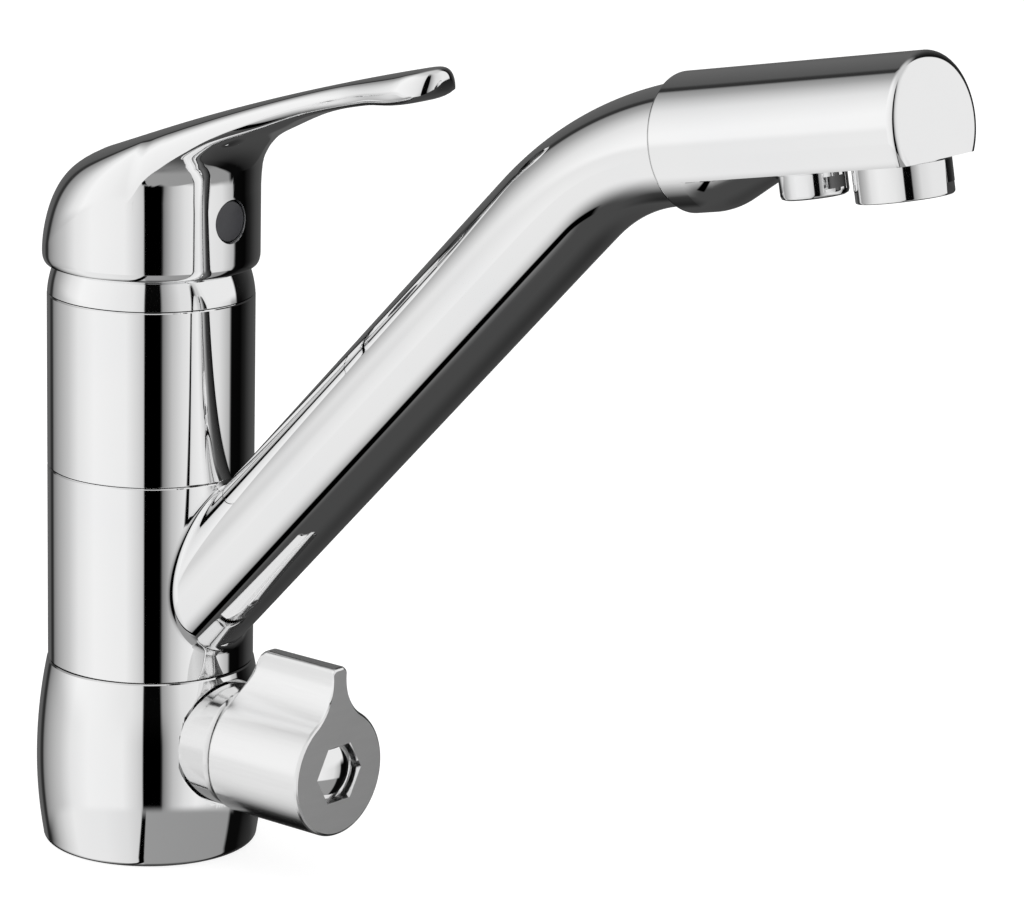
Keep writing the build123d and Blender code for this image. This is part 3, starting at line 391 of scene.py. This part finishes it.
def bellySide():
    # (radius, height) points from the foot's edge up to the hub
    top = column["hubLow"] - column["chamfer"]
    points = []
    for step in range(base["bellySteps"] + 1):
        z = base["edge"] + (top - base["edge"]) * step / base["bellySteps"]
        if z > base["bellyZ"]:
            bulge = base["belly"] - column["radius"] - base["lip"]
            share = (z - base["bellyZ"]) / (column["hubLow"] - base["bellyZ"])
        else:
            bulge = base["belly"] - base["foot"]
            share = (base["bellyZ"] - z) / (base["bellyZ"] - base["edge"])
        points.append((base["belly"] - bulge * share ** 2, z))
    return points


def makeBase():
    edge, recess, recessTop = base["edge"], base["recess"], base["recessTop"]
    inside, outside, deep = base["grooveInside"], base["grooveOutside"], base["grooveDepth"]
    bottom = [(0, recessTop), (recess, recessTop), (recess, 0), (inside, 0), (inside, deep), (outside, deep),
              (outside, 0), (base["foot"] - edge, 0)]
    corner = arc((base["foot"] - edge, edge), edge, -90, 0, 8)[1:-1]
    top = [(column["radius"] + base["lip"] - column["chamfer"], column["hubLow"]), (0, column["hubLow"])]
    outline = bottom + corner + bellySide() + top
    piece = newObject("footCasting", turnedMesh(outline, around=base["around"]))
    for x, y, radius, depth in base["inlets"]:
        hole = roundBar(radius, recessTop - 1, recessTop + depth, 48)
        cutAway(piece, newObject("hole", hole, Matrix.Translation((x * mm, y * mm, 0))))
    seatRadius = valve["radius"] + valve["seatGap"]
    seat = roundBar(seatRadius, valve["seat"], 40, 128)
    cutAway(piece, newObject("seat", seat, valveFrame))

    def onSeatRim(edge):
        middle = (edge.verts[0].co + edge.verts[1].co) / 2 / mm
        away = hypot(middle.y, middle.z - valve["z"])
        folded = edge.calc_face_angle(0) > 0.6
        return folded and abs(away - seatRadius) < 0.15 and middle.x > valve["seat"] + 0.6

    softenEdges(piece, base["seatRound"], onSeatRim, 4)
    finishPiece(piece, "base", "chrome", "base_body")


# straight column above the spout, and the ring under the lever
upper = {"lift": 0.02, "bore": 16.6, "topBore": 18.5, "topDepth": 6.0}
collar = {"pivot": 135.0, "radius": 25.05, "height": 10.0, "bore": 18.9, "lift": 0.12, "footHeight": 0.25,
          "footInset": 0.3}


def columnSide(low, high):
    # outside of one length of the column, with its small chamfers
    r, bevel = column["radius"], column["chamfer"]
    return [(r - bevel, low), (r, low + bevel), (r, high - bevel), (r - bevel, high)]


def makeUpperBody():
    low, high, step = column["hubHigh"] + upper["lift"], column["top"], column["top"] - upper["topDepth"]
    bore = [(upper["topBore"], high), (upper["topBore"], step), (upper["bore"], step)]
    outline = [(upper["bore"], low)] + columnSide(low, high) + bore
    piece = newObject("upperColumn", turnedMesh(outline, closed=True, around=column["around"]))
    finishPiece(piece, "base", "chrome", "upper_body")


def makeCollar():
    pivot, radius, bore = collar["pivot"], collar["radius"], collar["bore"]
    low = column["top"] + collar["lift"]
    first = degrees(asin((low + collar["footHeight"] - pivot) / radius))
    last = degrees(asin((column["top"] + collar["height"] - pivot) / radius))
    side = arc((0, pivot), radius, first, last, 16)
    outline = [(bore, low), (side[0].x - collar["footInset"], low)] + side + [(bore, side[-1].y)]
    piece = newObject("domedCollar", turnedMesh(outline, closed=True, around=column["around"]))
    finishPiece(piece, "base", "chrome", "dome_collar")


# spout: hub ring and slanting tube in one casting; lean is the angle round the tube from its top
def onHub(lean):
    # distance up the tube at which a line of its surface meets the column
    reach = sqrt(column["radius"] ** 2 - (spout["radius"] * sin(lean)) ** 2)
    rise = radians(spout["rise"])
    return (reach - spout["rootX"] + spout["radius"] * cos(lean) * sin(rise)) / cos(rise)


def tubePoint(lean, distance, radius=spout["radius"]):
    up = along(spout["rise"] + 90)
    return (spoutRoot + along(spout["rise"]) * distance + up * (radius * cos(lean))
            + Vector((0, radius * sin(lean), 0)))


def hubPoint(lean, away):
    # point on the column that lies a little outside the tube's footprint
    outer = tubePoint(lean, onHub(lean), spout["radius"] + away)
    rise = radians(spout["rise"])
    z = outer.z + 0.5 * away * cos(lean) * sin(rise) * tan(rise)
    return Vector((sqrt(column["radius"] ** 2 - outer.y ** 2), outer.y, z))


def bendLine(offset, bend):
    # upper or lower edge of the tube's bend in the middle plane, ending just inside the head
    ahead, up = along(head["rise"]), along(head["rise"] + 90)
    reach = (spout["bend"] + offset) * tan(radians(spout["rise"] - head["rise"]) / 2)
    corner = bendEnd - ahead * reach + up * offset
    first = bendStart - along(spout["rise"]) * 22 + along(spout["rise"] + 90) * offset
    last = corner + ahead * 60
    bent = rounded([(first.x, first.z), (corner.x, corner.z, bend), (last.x, last.z)], 64)
    line = [Vector((point.x, 0, point.y)) for point in bent]
    inside = bendEnd + ahead * spout["intoHead"]
    kept = [point for point in line if (point - inside).dot(ahead) < 0]
    before, after = line[len(kept) - 1], line[len(kept)]
    share = (inside - before).dot(ahead) / (after - before).dot(ahead)
    return kept + [before.lerp(after, share)]


def alongLine(points, share):
    lengths = [(b - a).length for a, b in zip(points, points[1:])]
    rest = share * sum(lengths)
    number = 0
    while rest > lengths[number] and number < len(lengths) - 1:
        rest -= lengths[number]
        number += 1
    return points[number].lerp(points[number + 1], min(1.0, rest / lengths[number]))


def blendRings(leans):
    # rings from inside the column, over the round between hub and tube, to a level ring on the tube
    extra = spout["blendTop"] - spout["blend"]
    spreads = [spout["blend"] + extra * max(0.0, cos(lean)) ** 2 for lean in leans]
    starts = [hubPoint(lean, away) for lean, away in zip(leans, spreads)]
    meets = [tubePoint(lean, onHub(lean)) for lean in leans]
    leaves = [tubePoint(lean, onHub(lean) + away) for lean, away in zip(leans, spreads)]
    rings = [[Vector((point.x * spout["tuck"], point.y * spout["tuck"], point.z)) for point in starts]]
    for step in range(spout["blendSteps"] + 1):
        t = step / spout["blendSteps"]
        rings.append([a * (1 - t) ** 2 + b * (2 * t * (1 - t)) + c * t ** 2
                      for a, b, c in zip(starts, meets, leaves)])
    level = onHub(0) + spout["level"]
    for share in (0.35, 0.7, 1.0):
        rings.append([tubePoint(lean, (onHub(lean) + away) * (1 - share) + level * share)
                      for lean, away in zip(leans, spreads)])
    return rings


def bendRings(leans):
    # rings up the straight tube and round its bend
    rings = [[tubePoint(lean, distance) for lean in leans] for distance in spout["straight"]]
    top = bendLine(spout["radius"], spout["topBend"])
    bottom = bendLine(-spout["radius"], spout["lowBend"])
    for step in range(spout["bendSteps"] + 1):
        share = step / spout["bendSteps"]
        upperEdge, lowerEdge = alongLine(top, share), alongLine(bottom, share)
        middle, half = (upperEdge + lowerEdge) / 2, (upperEdge - lowerEdge) / 2
        rings.append([middle + half * cos(lean) + Vector((0, spout["radius"] * sin(lean), 0))
                      for lean in leans])
    return rings


def makeSpout():
    low, high = column["hubLow"] + column["gap"], column["hubHigh"] - column["gap"]
    outline = [(spout["hubBore"], low)] + columnSide(low, high) + [(spout["hubBore"], high)]
    casting = turnedMesh(outline, closed=True, around=column["around"])
    leans = [2 * pi * step / spout["around"] for step in range(spout["around"])]
    tube = bmesh.new()
    skinRings(tube, [ringOf(tube, points) for points in blendRings(leans) + bendRings(leans)])
    addMesh(casting, tube)
    piece = newObject("spoutCasting", casting)
    finishPiece(piece, "spout", "chrome", "spout_arm")


# head with its two outlets; place is measured along the head
outlets = {
    "main": {"place": 55.0, "radius": 10.6, "drop": 7.7, "bore": 9.1, "chamfer": 0.5, "flange": 0.0,
             "flat": 2.6, "flatLift": 0.0, "flatTurn": 22.0},
    "filter": {"place": 31.8, "radius": 7.4, "drop": 6.2, "bore": 5.9, "chamfer": 1.0, "flange": 0.5,
               "flat": 2.6, "flatLift": 1.8, "flatTurn": -13.0},
}
outletParts = {"ledge": 1.6, "flatDepth": 0.7, "gridGap": 0.12, "gridLow": 0.5, "gridHigh": 2.2,
               "cells": 4, "cell": 0.72, "cellDepth": 2.2, "cellMiddle": 0.9}


def noseOutline():
    # (radius, place along the head) from the round underside down its slope to the flat
    r, start, slope, clear = head["radius"], head["noseStart"], radians(head["noseSlope"]), 0.02
    points = [Vector((0, start - 1)), Vector((r + clear, start - 1))]
    for step in range(17):
        turn = slope * step / 16
        points.append(Vector((r - head["noseRound"] * (1 - cos(turn)) + clear * (1 - step / 16),
                              start + head["noseRound"] * sin(turn))))
    foot = head["flat"] - 0.05
    drop = head["noseFillet"] * (1 - cos(slope))
    end = points[-1].y + (points[-1].x - foot - drop) / tan(slope)
    for step in range(9):
        turn = slope * (1 - step / 8)
        points.append(Vector((foot + head["noseFillet"] * (1 - cos(turn)),
                              end + head["noseFillet"] * (sin(slope) - sin(turn)))))
    points.append(Vector((0, points[-1].y)))
    return points


def makeHead():
    r, length, flat = head["radius"], head["length"], head["flat"]
    outline = rounded([(0, 0), (r, 0, head["shoulder"]), (r, length, head["end"]), (0, length)], 8)
    piece = newObject("spoutHead", turnedMesh(outline, around=head["around"]), headTurned)
    # what the underside loses is a slab less the nose, and the nose has a seat for the small outlet
    nose = newObject("nose", turnedMesh(noseOutline(), around=head["around"]), headTurned)
    seat = roundBar(outlets["filter"]["radius"] + head["seatGap"], -r - 2, 0, 96)
    seatPlace = headFrame @ Matrix.Translation((outlets["filter"]["place"] * mm, 0, 0))
    cutAway(nose, newObject("seat", seat, seatPlace))
    size, deep = length + 10 - head["noseStart"], 20
    slab = bmesh.new()
    addBlock(slab, (size, 3 * r, deep), (head["noseStart"] + size / 2, 0, -(flat + deep / 2)))
    under = newObject("under", slab, headFrame)
    cutAway(under, nose)
    cutAway(piece, under)
    toHead = headFrame.inverted()

    def onFlatRim(edge):
        middle = toHead @ ((edge.verts[0].co + edge.verts[1].co) / 2) / mm
        return abs(middle.z + flat) < 0.02 and edge.calc_face_angle(0) > 0.5

    softenEdges(piece, head["edge"], onFlatRim)
    finishPiece(piece, "spout", "chrome", "spout_head")


def makeOutlet(name, size):
    top = -head["flat"]
    low = top - size["drop"]
    ledge = low + size["drop"] / 2
    r, bore, bevel, wide = size["radius"], size["bore"], size["chamfer"], size["radius"] + size["flange"]
    inner = bore - outletParts["ledge"]
    outline = [(inner, top - 0.02), (wide - 0.25, top - 0.02), (wide, top - 0.27), (wide, top - 0.7),
               (r, top - 0.85), (r, low + bevel), (r - bevel * 0.25, low + bevel * 0.35), (r - bevel, low),
               (bore + 0.1, low), (bore, low + 0.15), (bore, ledge), (inner, ledge)]
    piece = newObject(name + "OutletShell", turnedMesh(outline, closed=True, around=128))
    blockWide, lift = 8, low + size["flatLift"] + size["flat"] / 2
    for side in (1, -1):
        block = bmesh.new()
        away = side * (r - outletParts["flatDepth"] + blockWide / 2)
        addBlock(block, (blockWide, 3 * r, size["flat"]), (away, 0, lift))
        cutAway(piece, newObject("flat", block, Matrix.Rotation(radians(size["flatTurn"]), 4, "Z")))
    place = headFrame @ Matrix.Translation((size["place"] * mm, 0, 0))
    piece.data.transform(place)
    finishPiece(piece, "spout", "brass_plated", name + "_outlet_shell")
    makeGrid(name, size["bore"] - outletParts["gridGap"], low, place)


def makeGrid(name, reach, low, place):
    # plate of fine square cells that breaks the stream up
    count, pitch = outletParts["cells"], reach / (outletParts["cells"] + 0.5)
    plate = roundBar(reach, low + outletParts["gridLow"], low + outletParts["gridHigh"], 96)
    piece = newObject(name + "OutletGrid", plate)
    cells = bmesh.new()
    side = pitch * outletParts["cell"]
    for row in range(-count, count + 1):
        for number in range(-count, count + 1):
            if hypot(row, number) * pitch <= reach - pitch * 0.62:
                addBlock(cells, (side, side, outletParts["cellDepth"]),
                         (row * pitch, number * pitch, low + outletParts["cellMiddle"]))
    cutAway(piece, newObject("cells", cells))
    piece.data.transform(place)
    finishPiece(piece, "spout", "white_plastic", name + "_outlet_grid")


# lever; under is its underside as (distance from the column's axis, height), from the skirt to the tip
lever = {"radius": 26.1, "bottom": 144.3, "bottomRadius": 25.0, "bottomRound": 2.6, "innerRadius": 24.3,
         "backX": -22.0, "frontWall": 163.5, "crest": 175.4, "slope": 0.367, "sag": 0.0007, "crown": 75.0,
         "waistX": 64.1, "waist": 6.0, "padX": 83.2, "pad": 7.8, "tip": 91.5, "lift": 0.4, "rows": 30,
         "underRows": 36, "backSteps": 60, "sideSteps": 150, "tipSteps": 30, "underSlope": 20.0,
         "inside": ((-3.0, 158.0), (0.0, 150.0)),
         "under": [(26.1, 163.5), (26.5, 168.4), (27.6, 171.5), (29.5, 174.2), (33.5, 177.6), (40.7, 181.3),
                   (53.8, 187.0), (70.1, 191.4), (78.9, 192.6), (84.9, 194.0), (88.4, 195.7), (90.8, 198.0),
                   (91.5, 199.6)]}
plug = {"z": 157.6,
        "pocket": [(0, 20), (5.05, 20), (5.05, 25.3), (5.35, 26.2), (5.35, 40), (0, 40)],
        "outline": [(0, 22), (4.9, 22), (4.9, 25.1), (4.7, 25.35), (3.0, 25.5), (0, 25.55)]}

# the arm's sides leave the round skirt on the line that touches it from the waist
armAngle = atan(lever["waist"] / lever["waistX"])
armAngle += asin(lever["radius"] / hypot(lever["waistX"], lever["waist"]))
armX, armY, armSlope = lever["radius"] * sin(armAngle), lever["radius"] * cos(armAngle), -tan(armAngle)
armTurn = atan2(armY, armX)


def leverHalf(x):
    # half of the arm's width
    waistX, waist, padX, pad = (lever[key] for key in ("waistX", "waist", "padX", "pad"))
    if x > padX:
        share = min(1.0, (x - padX) / (lever["tip"] - padX))
        return pad * sqrt(1 - share * share)
    if x > waistX:
        return waist + (pad - waist) * ease(x, waistX, padX)
    return cubic((x - armX) / (waistX - armX), waistX - armX, (armY, waist), (armSlope, 0.0))


def leverOutline():
    # half of the outline seen from above, from the back round to the tip
    padX, pad, count = lever["padX"], lever["pad"], lever["sideSteps"]
    points = arc((0, 0), lever["radius"], 180, degrees(armTurn), lever["backSteps"])
    for step in range(1, count + 1):
        x = armX + (padX - armX) * step / count
        points.append(Vector((x, leverHalf(x))))
    for step in range(1, lever["tipSteps"] + 1):
        turn = pi / 2 * step / lever["tipSteps"]
        points.append(Vector((padX + (lever["tip"] - padX) * sin(turn), pad * max(0.0, cos(turn)))))
    return points


def crestHeight(x):
    return lever["crest"] + lever["slope"] * x - lever["sag"] * x * x


def underLine(x):
    # height of a smooth curve through the points of the underside
    points = lever["under"]
    last = len(points) - 1
    x = min(max(x, points[0][0]), points[last][0])
    k = max(number for number in range(last) if points[number][0] <= x)
    slopes = []
    for number in (k, k + 1):
        before, after = points[max(number - 1, 0)], points[min(number + 1, last)]
        slopes.append((after[1] - before[1]) / (after[0] - before[0]))
    if k == 0:
        slopes[0] = lever["underSlope"]
    span = points[k + 1][0] - points[k][0]
    return cubic((x - points[k][0]) / span, span, (points[k][1], points[k + 1][1]), slopes)


def underHeight(x, y, radius, half):
    # underside of the arm, whose lower edges turn up on a soft round
    low = underLine(radius)
    if x < armX:
        return low
    lift = lever["lift"] * (crestHeight(min(x, lever["padX"])) - low) * ease(x, armX, 48)
    lift *= 1 - ease(x, lever["padX"] - 2, lever["tip"])
    return low + lift * min(1.0, abs(y) / half) ** 7


def skirtStrip(x):
    # (radius, height) points from inside the skirt, round its lower edge and up its outside
    r, bottom, inside = lever["radius"], lever["bottom"], lever["innerRadius"]
    lowTop = bottom + lever["bottomRound"]
    wallTop = lowTop + (lever["frontWall"] - lowTop) * ease(x, lever["backX"], armX)
    points = [(inside + inward, height) for inward, height in lever["inside"]]
    points += [(inside, bottom + 0.2), (inside + 0.2, bottom)]
    for step in range(8):
        swing = pi / 2 * step / 7
        points.append((lever["bottomRadius"] + (r - lever["bottomRadius"]) * sin(swing),
                       lowTop - lever["bottomRound"] * cos(swing)))
    return points + [(r, lowTop + (wallTop - lowTop) * step / 6) for step in range(1, 7)]


def underStrip(point, rootTurn, wallTop):
    # from the top of the skirt's wall out along the underside to the outline
    r, reach, turn = lever["radius"], point.length, atan2(point.y, point.x)
    strip = []
    for step in range(1, lever["underRows"] + 1):
        share = step / lever["underRows"]
        share = share ** 1.4 * (1.6 - 0.6 * share)
        radius = r + (reach - r) * share
        heading = turn + (rootTurn - turn) * (1 - share) ** 2
        x, y = radius * cos(heading), radius * sin(heading)
        height = wallTop
        if radius > r + 0.01:
            half = abs(point.y) if share > 0.999 else max(abs(y), leverHalf(x))
            height = underHeight(x, y, radius, max(half, 0.01))
        strip.append((x, y, height))
    return strip


def topStrip(point, edge):
    # over the top to a place on the middle line that runs ahead smoothly with the outline
    centre = Vector((min((point.x + sqrt(point.x ** 2 + 100)) / 2, lever["padX"]), 0.0))
    power = 8.0 - 3.0 * ease(point.x, 0, 55)
    bend = 0.595 - 0.08 * ease(point.x, 0, 50)
    strip = []
    for step in range(1, lever["rows"] + 1):
        swing = pi / 2 * step / lever["rows"]
        place = centre + (point - centre) * max(0.0, cos(swing)) ** (2 / power)
        crown = (place.y ** 2 + min(place.x, 0.0) ** 2) / (2 * lever["crown"])
        height = edge + (crestHeight(place.x) - crown - edge) * sin(swing) ** (2 * bend)
        strip.append((place.x, place.y, height))
    return strip


def leverStrip(point):
    # the arm's strips start spread round the front of the skirt, and draw together along the arm
    rootTurn = atan2(point.y, point.x)
    if point.x > armX:
        rootTurn = armTurn * max(0.0, (lever["tip"] - point.x) / (lever["tip"] - armX))
    skirt = skirtStrip(point.x)
    strip = [(radius * cos(rootTurn), radius * sin(rootTurn), height) for radius, height in skirt]
    strip += underStrip(point, rootTurn, skirt[-1][1])
    return strip + topStrip(point, strip[-1][2])


def makeLever():
    # half of the skin is a grid with a strip in each of its columns, and the other half is its mirror
    strips = [leverStrip(point) for point in leverOutline()]
    lastStrip, lastRow = len(strips) - 1, len(strips[0]) - 1
    bm = bmesh.new()
    bmesh.ops.create_grid(bm, x_segments=lastStrip, y_segments=lastRow, size=1.0)
    for vert in bm.verts:
        strip = strips[round((vert.co.x + 1) / 2 * lastStrip)]
        vert.co = Vector(strip[round((vert.co.y + 1) / 2 * lastRow)]) * mm
    bmesh.ops.mirror(bm, geom=bm.verts[:] + bm.edges[:] + bm.faces[:], axis="Y", merge_dist=1e-6)
    bmesh.ops.remove_doubles(bm, verts=bm.verts, dist=2e-6)
    bmesh.ops.dissolve_degenerate(bm, edges=bm.edges, dist=1e-7)
    bmesh.ops.contextual_create(bm, geom=[edge for edge in bm.edges if edge.is_boundary])
    bmesh.ops.recalc_face_normals(bm, faces=bm.faces)
    piece = newObject("leverHandle", bm)
    plugFrame = frameAt((0, 0, plug["z"]), (0, 1, 0), (0, 0, 1), (1, 0, 0))
    cutAway(piece, newObject("pocket", turnedMesh(plug["pocket"], around=96), plugFrame))
    finishPiece(piece, "lever", "chrome", "lever_handle", sharpAngle=40)
    piece = newObject("indexPlug", turnedMesh(plug["outline"], around=96), plugFrame)
    finishPiece(piece, "lever", "grey_plastic", "index_plug")


# filter valve's cover, and its knob with the cap
knob = {"rear": 33.7, "face": 61.7, "radius": 15.4, "peak": 26.2, "peakHalf": 1.7, "peakRound": 1.4,
        "peakLean": 6.0, "flank": 13.0, "cone": 24.0, "edge": 0.7, "rearEdge": 0.3, "rearRound": 1.6,
        "hexagon": 13.6, "recess": 4.6, "capGap": 0.8, "capDome": 14.0}


def makeBonnet():
    r, rear, front = valve["radius"], valve["seat"] + 0.05, valve["front"]
    outline = rounded([(0, rear), (r, rear), (r, front, valve["round"]), (0, front)], 10)
    piece = newObject("filterBonnet", turnedMesh(outline), valveFrame)
    finishPiece(piece, "base", "chrome", "filter_bonnet", "bonnet")


def knobOutline():
    # a circle, hollow flanks up both sides of the peak, and the peak's soft top
    sideX = knob["peakHalf"] + knob["flank"] + 0.6
    sideZ = sqrt((knob["radius"] + knob["flank"]) ** 2 - sideX ** 2)
    touch = degrees(atan2(sideZ, sideX))
    circle = arc((0, 0), knob["radius"], touch, 180 - touch - 360, 96)
    flank = arc((-sideX, sideZ), knob["flank"], -touch, knob["peakLean"], 20)[1:]
    peakX, peak, soft = knob["peakHalf"], knob["peak"], knob["peakRound"]
    mirrored = [Vector((-point.x, point.y)) for point in reversed(flank)]
    top = rounded([flank[-1][:], (-peakX, peak, soft), (peakX, peak, soft), mirrored[0][:]])[1:-1]
    return circle + flank + top + mirrored


def knobRings():
    # rings from the rear, round its edge and forward to the face
    outline = knobOutline()
    r, rear, face, edge = knob["radius"], knob["rear"], knob["face"], knob["edge"]
    fall = tan(radians(knob["cone"]))

    def inset(point, inward, height):
        return (*(point * (1 - inward / point.length)), height)

    rings = []
    for share in (0.55, 0.8, 0.97):
        rings.append([inset(point, point.length - min(point.length, r) * share, rear) for point in outline])
    for swing in range(0, 91, 15):
        ring = []
        for point in outline:
            beyond = max(0.0, point.length - r)
            soft = knob["rearEdge"] + (knob["rearRound"] - knob["rearEdge"]) * ease(beyond, 0, 7)
            inward = soft * (1 - sin(radians(swing)))
            lift = soft * (1 - cos(radians(swing)))
            ring.append(inset(point, inward, rear + max(0.0, beyond - inward) * fall + lift))
        rings.append(ring)
    for inward, back in ((0.0, edge), (0.35 * edge, 0.35 * edge), (edge, 0.0)):
        rings.append([inset(point, inward, face - back) for point in outline])
    return rings


def makeKnob():
    face = knob["face"]
    bm = bmesh.new()
    skinRings(bm, [ringOf(bm, points) for points in knobRings()])
    piece = newObject("filterKnob", bm)
    recess = prism(hexagon(knob["hexagon"]), face - knob["recess"], face + 2)
    cutAway(piece, newObject("recess", recess))
    piece.data.transform(valveFrame)
    finishPiece(piece, "knob", "satin", "filter_knob", sharpAngle=28)
    piece.data.materials.append(materials["satinFace"])
    for polygon in piece.data.polygons:
        if polygon.normal.x > 0.9 and polygon.center.x > (face - 1) * mm:
            polygon.material_index = 1


def makeCap():
    face, radius = knob["face"], knob["capDome"]
    flats = knob["hexagon"] - 2 * knob["capGap"]
    piece = newObject("knobCap", prism(hexagon(flats), face - knob["recess"] + 0.05, face + 1))
    dome = turnedMesh([(0, face - 2 * radius)] + arc((0, face - radius), radius, -80, 90, 72), around=128)
    cutAway(piece, newObject("dome", dome), "INTERSECT")
    piece.data.transform(valveFrame)
    finishPiece(piece, "knob", "chrome", "knob_cap", sharpAngle=28)


makeBase()
makeUpperBody()
makeCollar()
print("column made")
makeSpout()
makeHead()
for outletName, outletSize in outlets.items():
    makeOutlet(outletName, outletSize)
print("spout made")
makeLever()
makeBonnet()
makeKnob()
makeCap()
print("lever and knob made")

# every node of the model that still shows takes its slot's finish
slotOf = {row["node"]: row["material_slot"] for row in frame["record"]["subparts"]}
for nodeName, node in frame["nodes"].items():
    node.data.materials.clear()
    node.data.materials.append(materials[slotOf[nodeName]])

# floor, light and camera, in metres; side is the camera's direction from the column, in degrees about Z
cameraView = {"place": (0.7585, -0.7967, 0.3791), "aim": (0.08716, 0.03107, 0.10678), "roll": 1.25,
              "lens": 164.6, "side": -46.4}
lampSize = {"place": (-0.5, -0.5, 1.5), "aim": (0.1, 0, 0.1), "across": 1.2, "energy": 4.0}
# brightness of the tent by degrees to the right of the camera, in three belts one above the other,
# and the heights in degrees between which one belt passes into the next
studio = {
    "over": ((-180, 0.40), (-152, 0.34), (-147, 0.2), (-142, 0.2), (-138, 0.56), (-128, 0.65), (-104, 0.9),
             (-85, 0.98), (-50, 0.95), (-20, 0.91), (-8.5, 0.85), (-7, 0.02), (10, 0.02), (12, 0.6),
             (32, 0.88), (60, 0.93), (106, 0.93), (108, 0.05), (118, 0.1), (128, 0.16), (142, 0.23),
             (180, 0.40)),
    "sides": ((-180, 0.40), (-152, 0.37), (-147, 0.2), (-141, 0.16), (-136, 0.52), (-126, 0.63),
              (-104, 0.78), (-88, 0.91), (-66, 0.96), (-28, 0.94), (-14, 0.84), (-8.5, 0.78), (-7.5, 0.0),
              (11, 0.0), (13, 0.5), (23, 0.76), (35, 0.88), (48, 0.94), (80, 0.88), (96, 0.7), (99, 0.03),
              (116, 0.02), (126, 0.12), (142, 0.26), (180, 0.38)),
    "below": ((-180, 0.28), (-170, 0.1), (-164, 0.04), (-146, 0.05), (-139, 0.2), (-130, 0.5), (-117, 0.72),
              (-104, 0.84), (-88, 0.93), (-50, 0.92), (-24, 0.88), (-10, 0.82), (-8, 0.6), (90, 0.58),
              (94, 0.04), (112, 0.04), (120, 0.12), (140, 0.2), (160, 0.26), (180, 0.28)),
    "down": 0.28, "ceiling": 0.62, "downHeights": (-78.0, -46.0), "belowHeights": (-25.2, -22.8),
    "overHeights": (-9.0, 1.0), "ceilingHeights": (52.0, 80.0),
}


def makeFloor():
    bm = bmesh.new()
    bmesh.ops.create_grid(bm, x_segments=8, y_segments=8, size=7.0)
    floor = newObject("floor", bm)
    floor.data.materials.append(materials["floor"])
    floor.visible_glossy = False


def makeStudio():
    # a white tent with a dark gap where the camera stands and dark cloth behind the object
    world = bpy.data.worlds.new("studioTent")
    world.use_nodes = True
    scene.world = world
    paint = Paint(world.node_tree)
    parts = paint.node("ShaderNodeSeparateXYZ", {}, {0: paint.node("ShaderNodeTexCoord", out="Generated")})
    x, y, z = (parts.output(name) for name in "XYZ")
    bearing = paint.maths("ARCTAN2", y, x) * (180 / pi) - cameraView["side"]
    bearing = paint.node("ShaderNodeMath", {"operation": "WRAP"}, {0: bearing, 1: 180.0, 2: -180.0})
    height = paint.maths("ARCSINE", z) * (180 / pi)
    belts = {}
    for name in ("over", "sides", "below"):
        stops = [((angle + 180) / 360, linear(level)) for angle, level in studio[name]]
        belts[name] = paint.node("ShaderNodeValToRGB", {"stops": stops}, {0: (bearing + 180) / 360})
    tent = paint.mixed(paint.between(height, *studio["downHeights"]), evenColour(linear(studio["down"])),
                       belts["below"])
    tent = paint.mixed(paint.between(height, *studio["belowHeights"]), tent, belts["sides"])
    tent = paint.mixed(paint.between(height, *studio["overHeights"]), tent, belts["over"])
    tent = paint.mixed(paint.between(height, *studio["ceilingHeights"]), tent, evenColour(studio["ceiling"]))
    # dark edge of the table, a straight line that runs towards the camera left of the middle
    depth = paint.maths("MAXIMUM", 0.0 - z, 0.05)
    turn = radians(cameraView["side"])
    ahead = (x * cos(turn) + y * sin(turn)) / depth
    aside = (y * cos(turn) - x * sin(turn)) / depth
    rim = paint.between(aside, -0.33, -0.29) * paint.between(aside, -0.15, -0.18)
    rim = rim * paint.between(ahead, 0.05, 0.12) * paint.between(height, -23.0, -27.0)
    # only reflections see the tent, and all else is lit by plain white
    seen = paint.node("ShaderNodeBackground", {}, {"Color": paint.mixed(rim, tent, evenColour(0.0))})
    plain = paint.node("ShaderNodeBackground", {}, {"Color": evenColour(1.0), "Strength": 1.02})
    glossy = paint.node("ShaderNodeLightPath", out="Is Glossy Ray")
    both = paint.node("ShaderNodeMixShader", {}, {0: glossy, 1: plain, 2: seen})
    paint.node("ShaderNodeOutputWorld", {}, {"Surface": both})


def aimed(place, aim, roll=0.0):
    # stands at the place, looks at the aim and is rolled by some degrees
    place = Vector(place)
    facing = (Vector(aim) - place).to_track_quat("-Z", "Y").to_matrix().to_4x4()
    return Matrix.Translation(place) @ facing @ Matrix.Rotation(radians(roll), 4, "Z")


def makeLamp():
    light = bpy.data.lights.new("softOverhead", "AREA")
    light.shape = "DISK"
    light.size = lampSize["across"]
    light.energy = lampSize["energy"]
    lamp = bpy.data.objects.new("softOverhead", light)
    lamp.matrix_world = aimed(lampSize["place"], lampSize["aim"])
    lamp.visible_glossy = False
    scene.collection.objects.link(lamp)


def makeCamera():
    lens = bpy.data.cameras.new("camera")
    lens.lens = cameraView["lens"]
    lens.sensor_width = 36.0
    lens.clip_start = 0.05
    lens.clip_end = 60.0
    camera = bpy.data.objects.new("camera", lens)
    camera.matrix_world = aimed(cameraView["place"], cameraView["aim"], cameraView["roll"])
    scene.collection.objects.link(camera)
    scene.camera = camera


makeFloor()
makeStudio()
makeLamp()
makeCamera()
scene.view_settings.view_transform = "Standard"
scene.view_settings.look = "None"
print("studio ready")
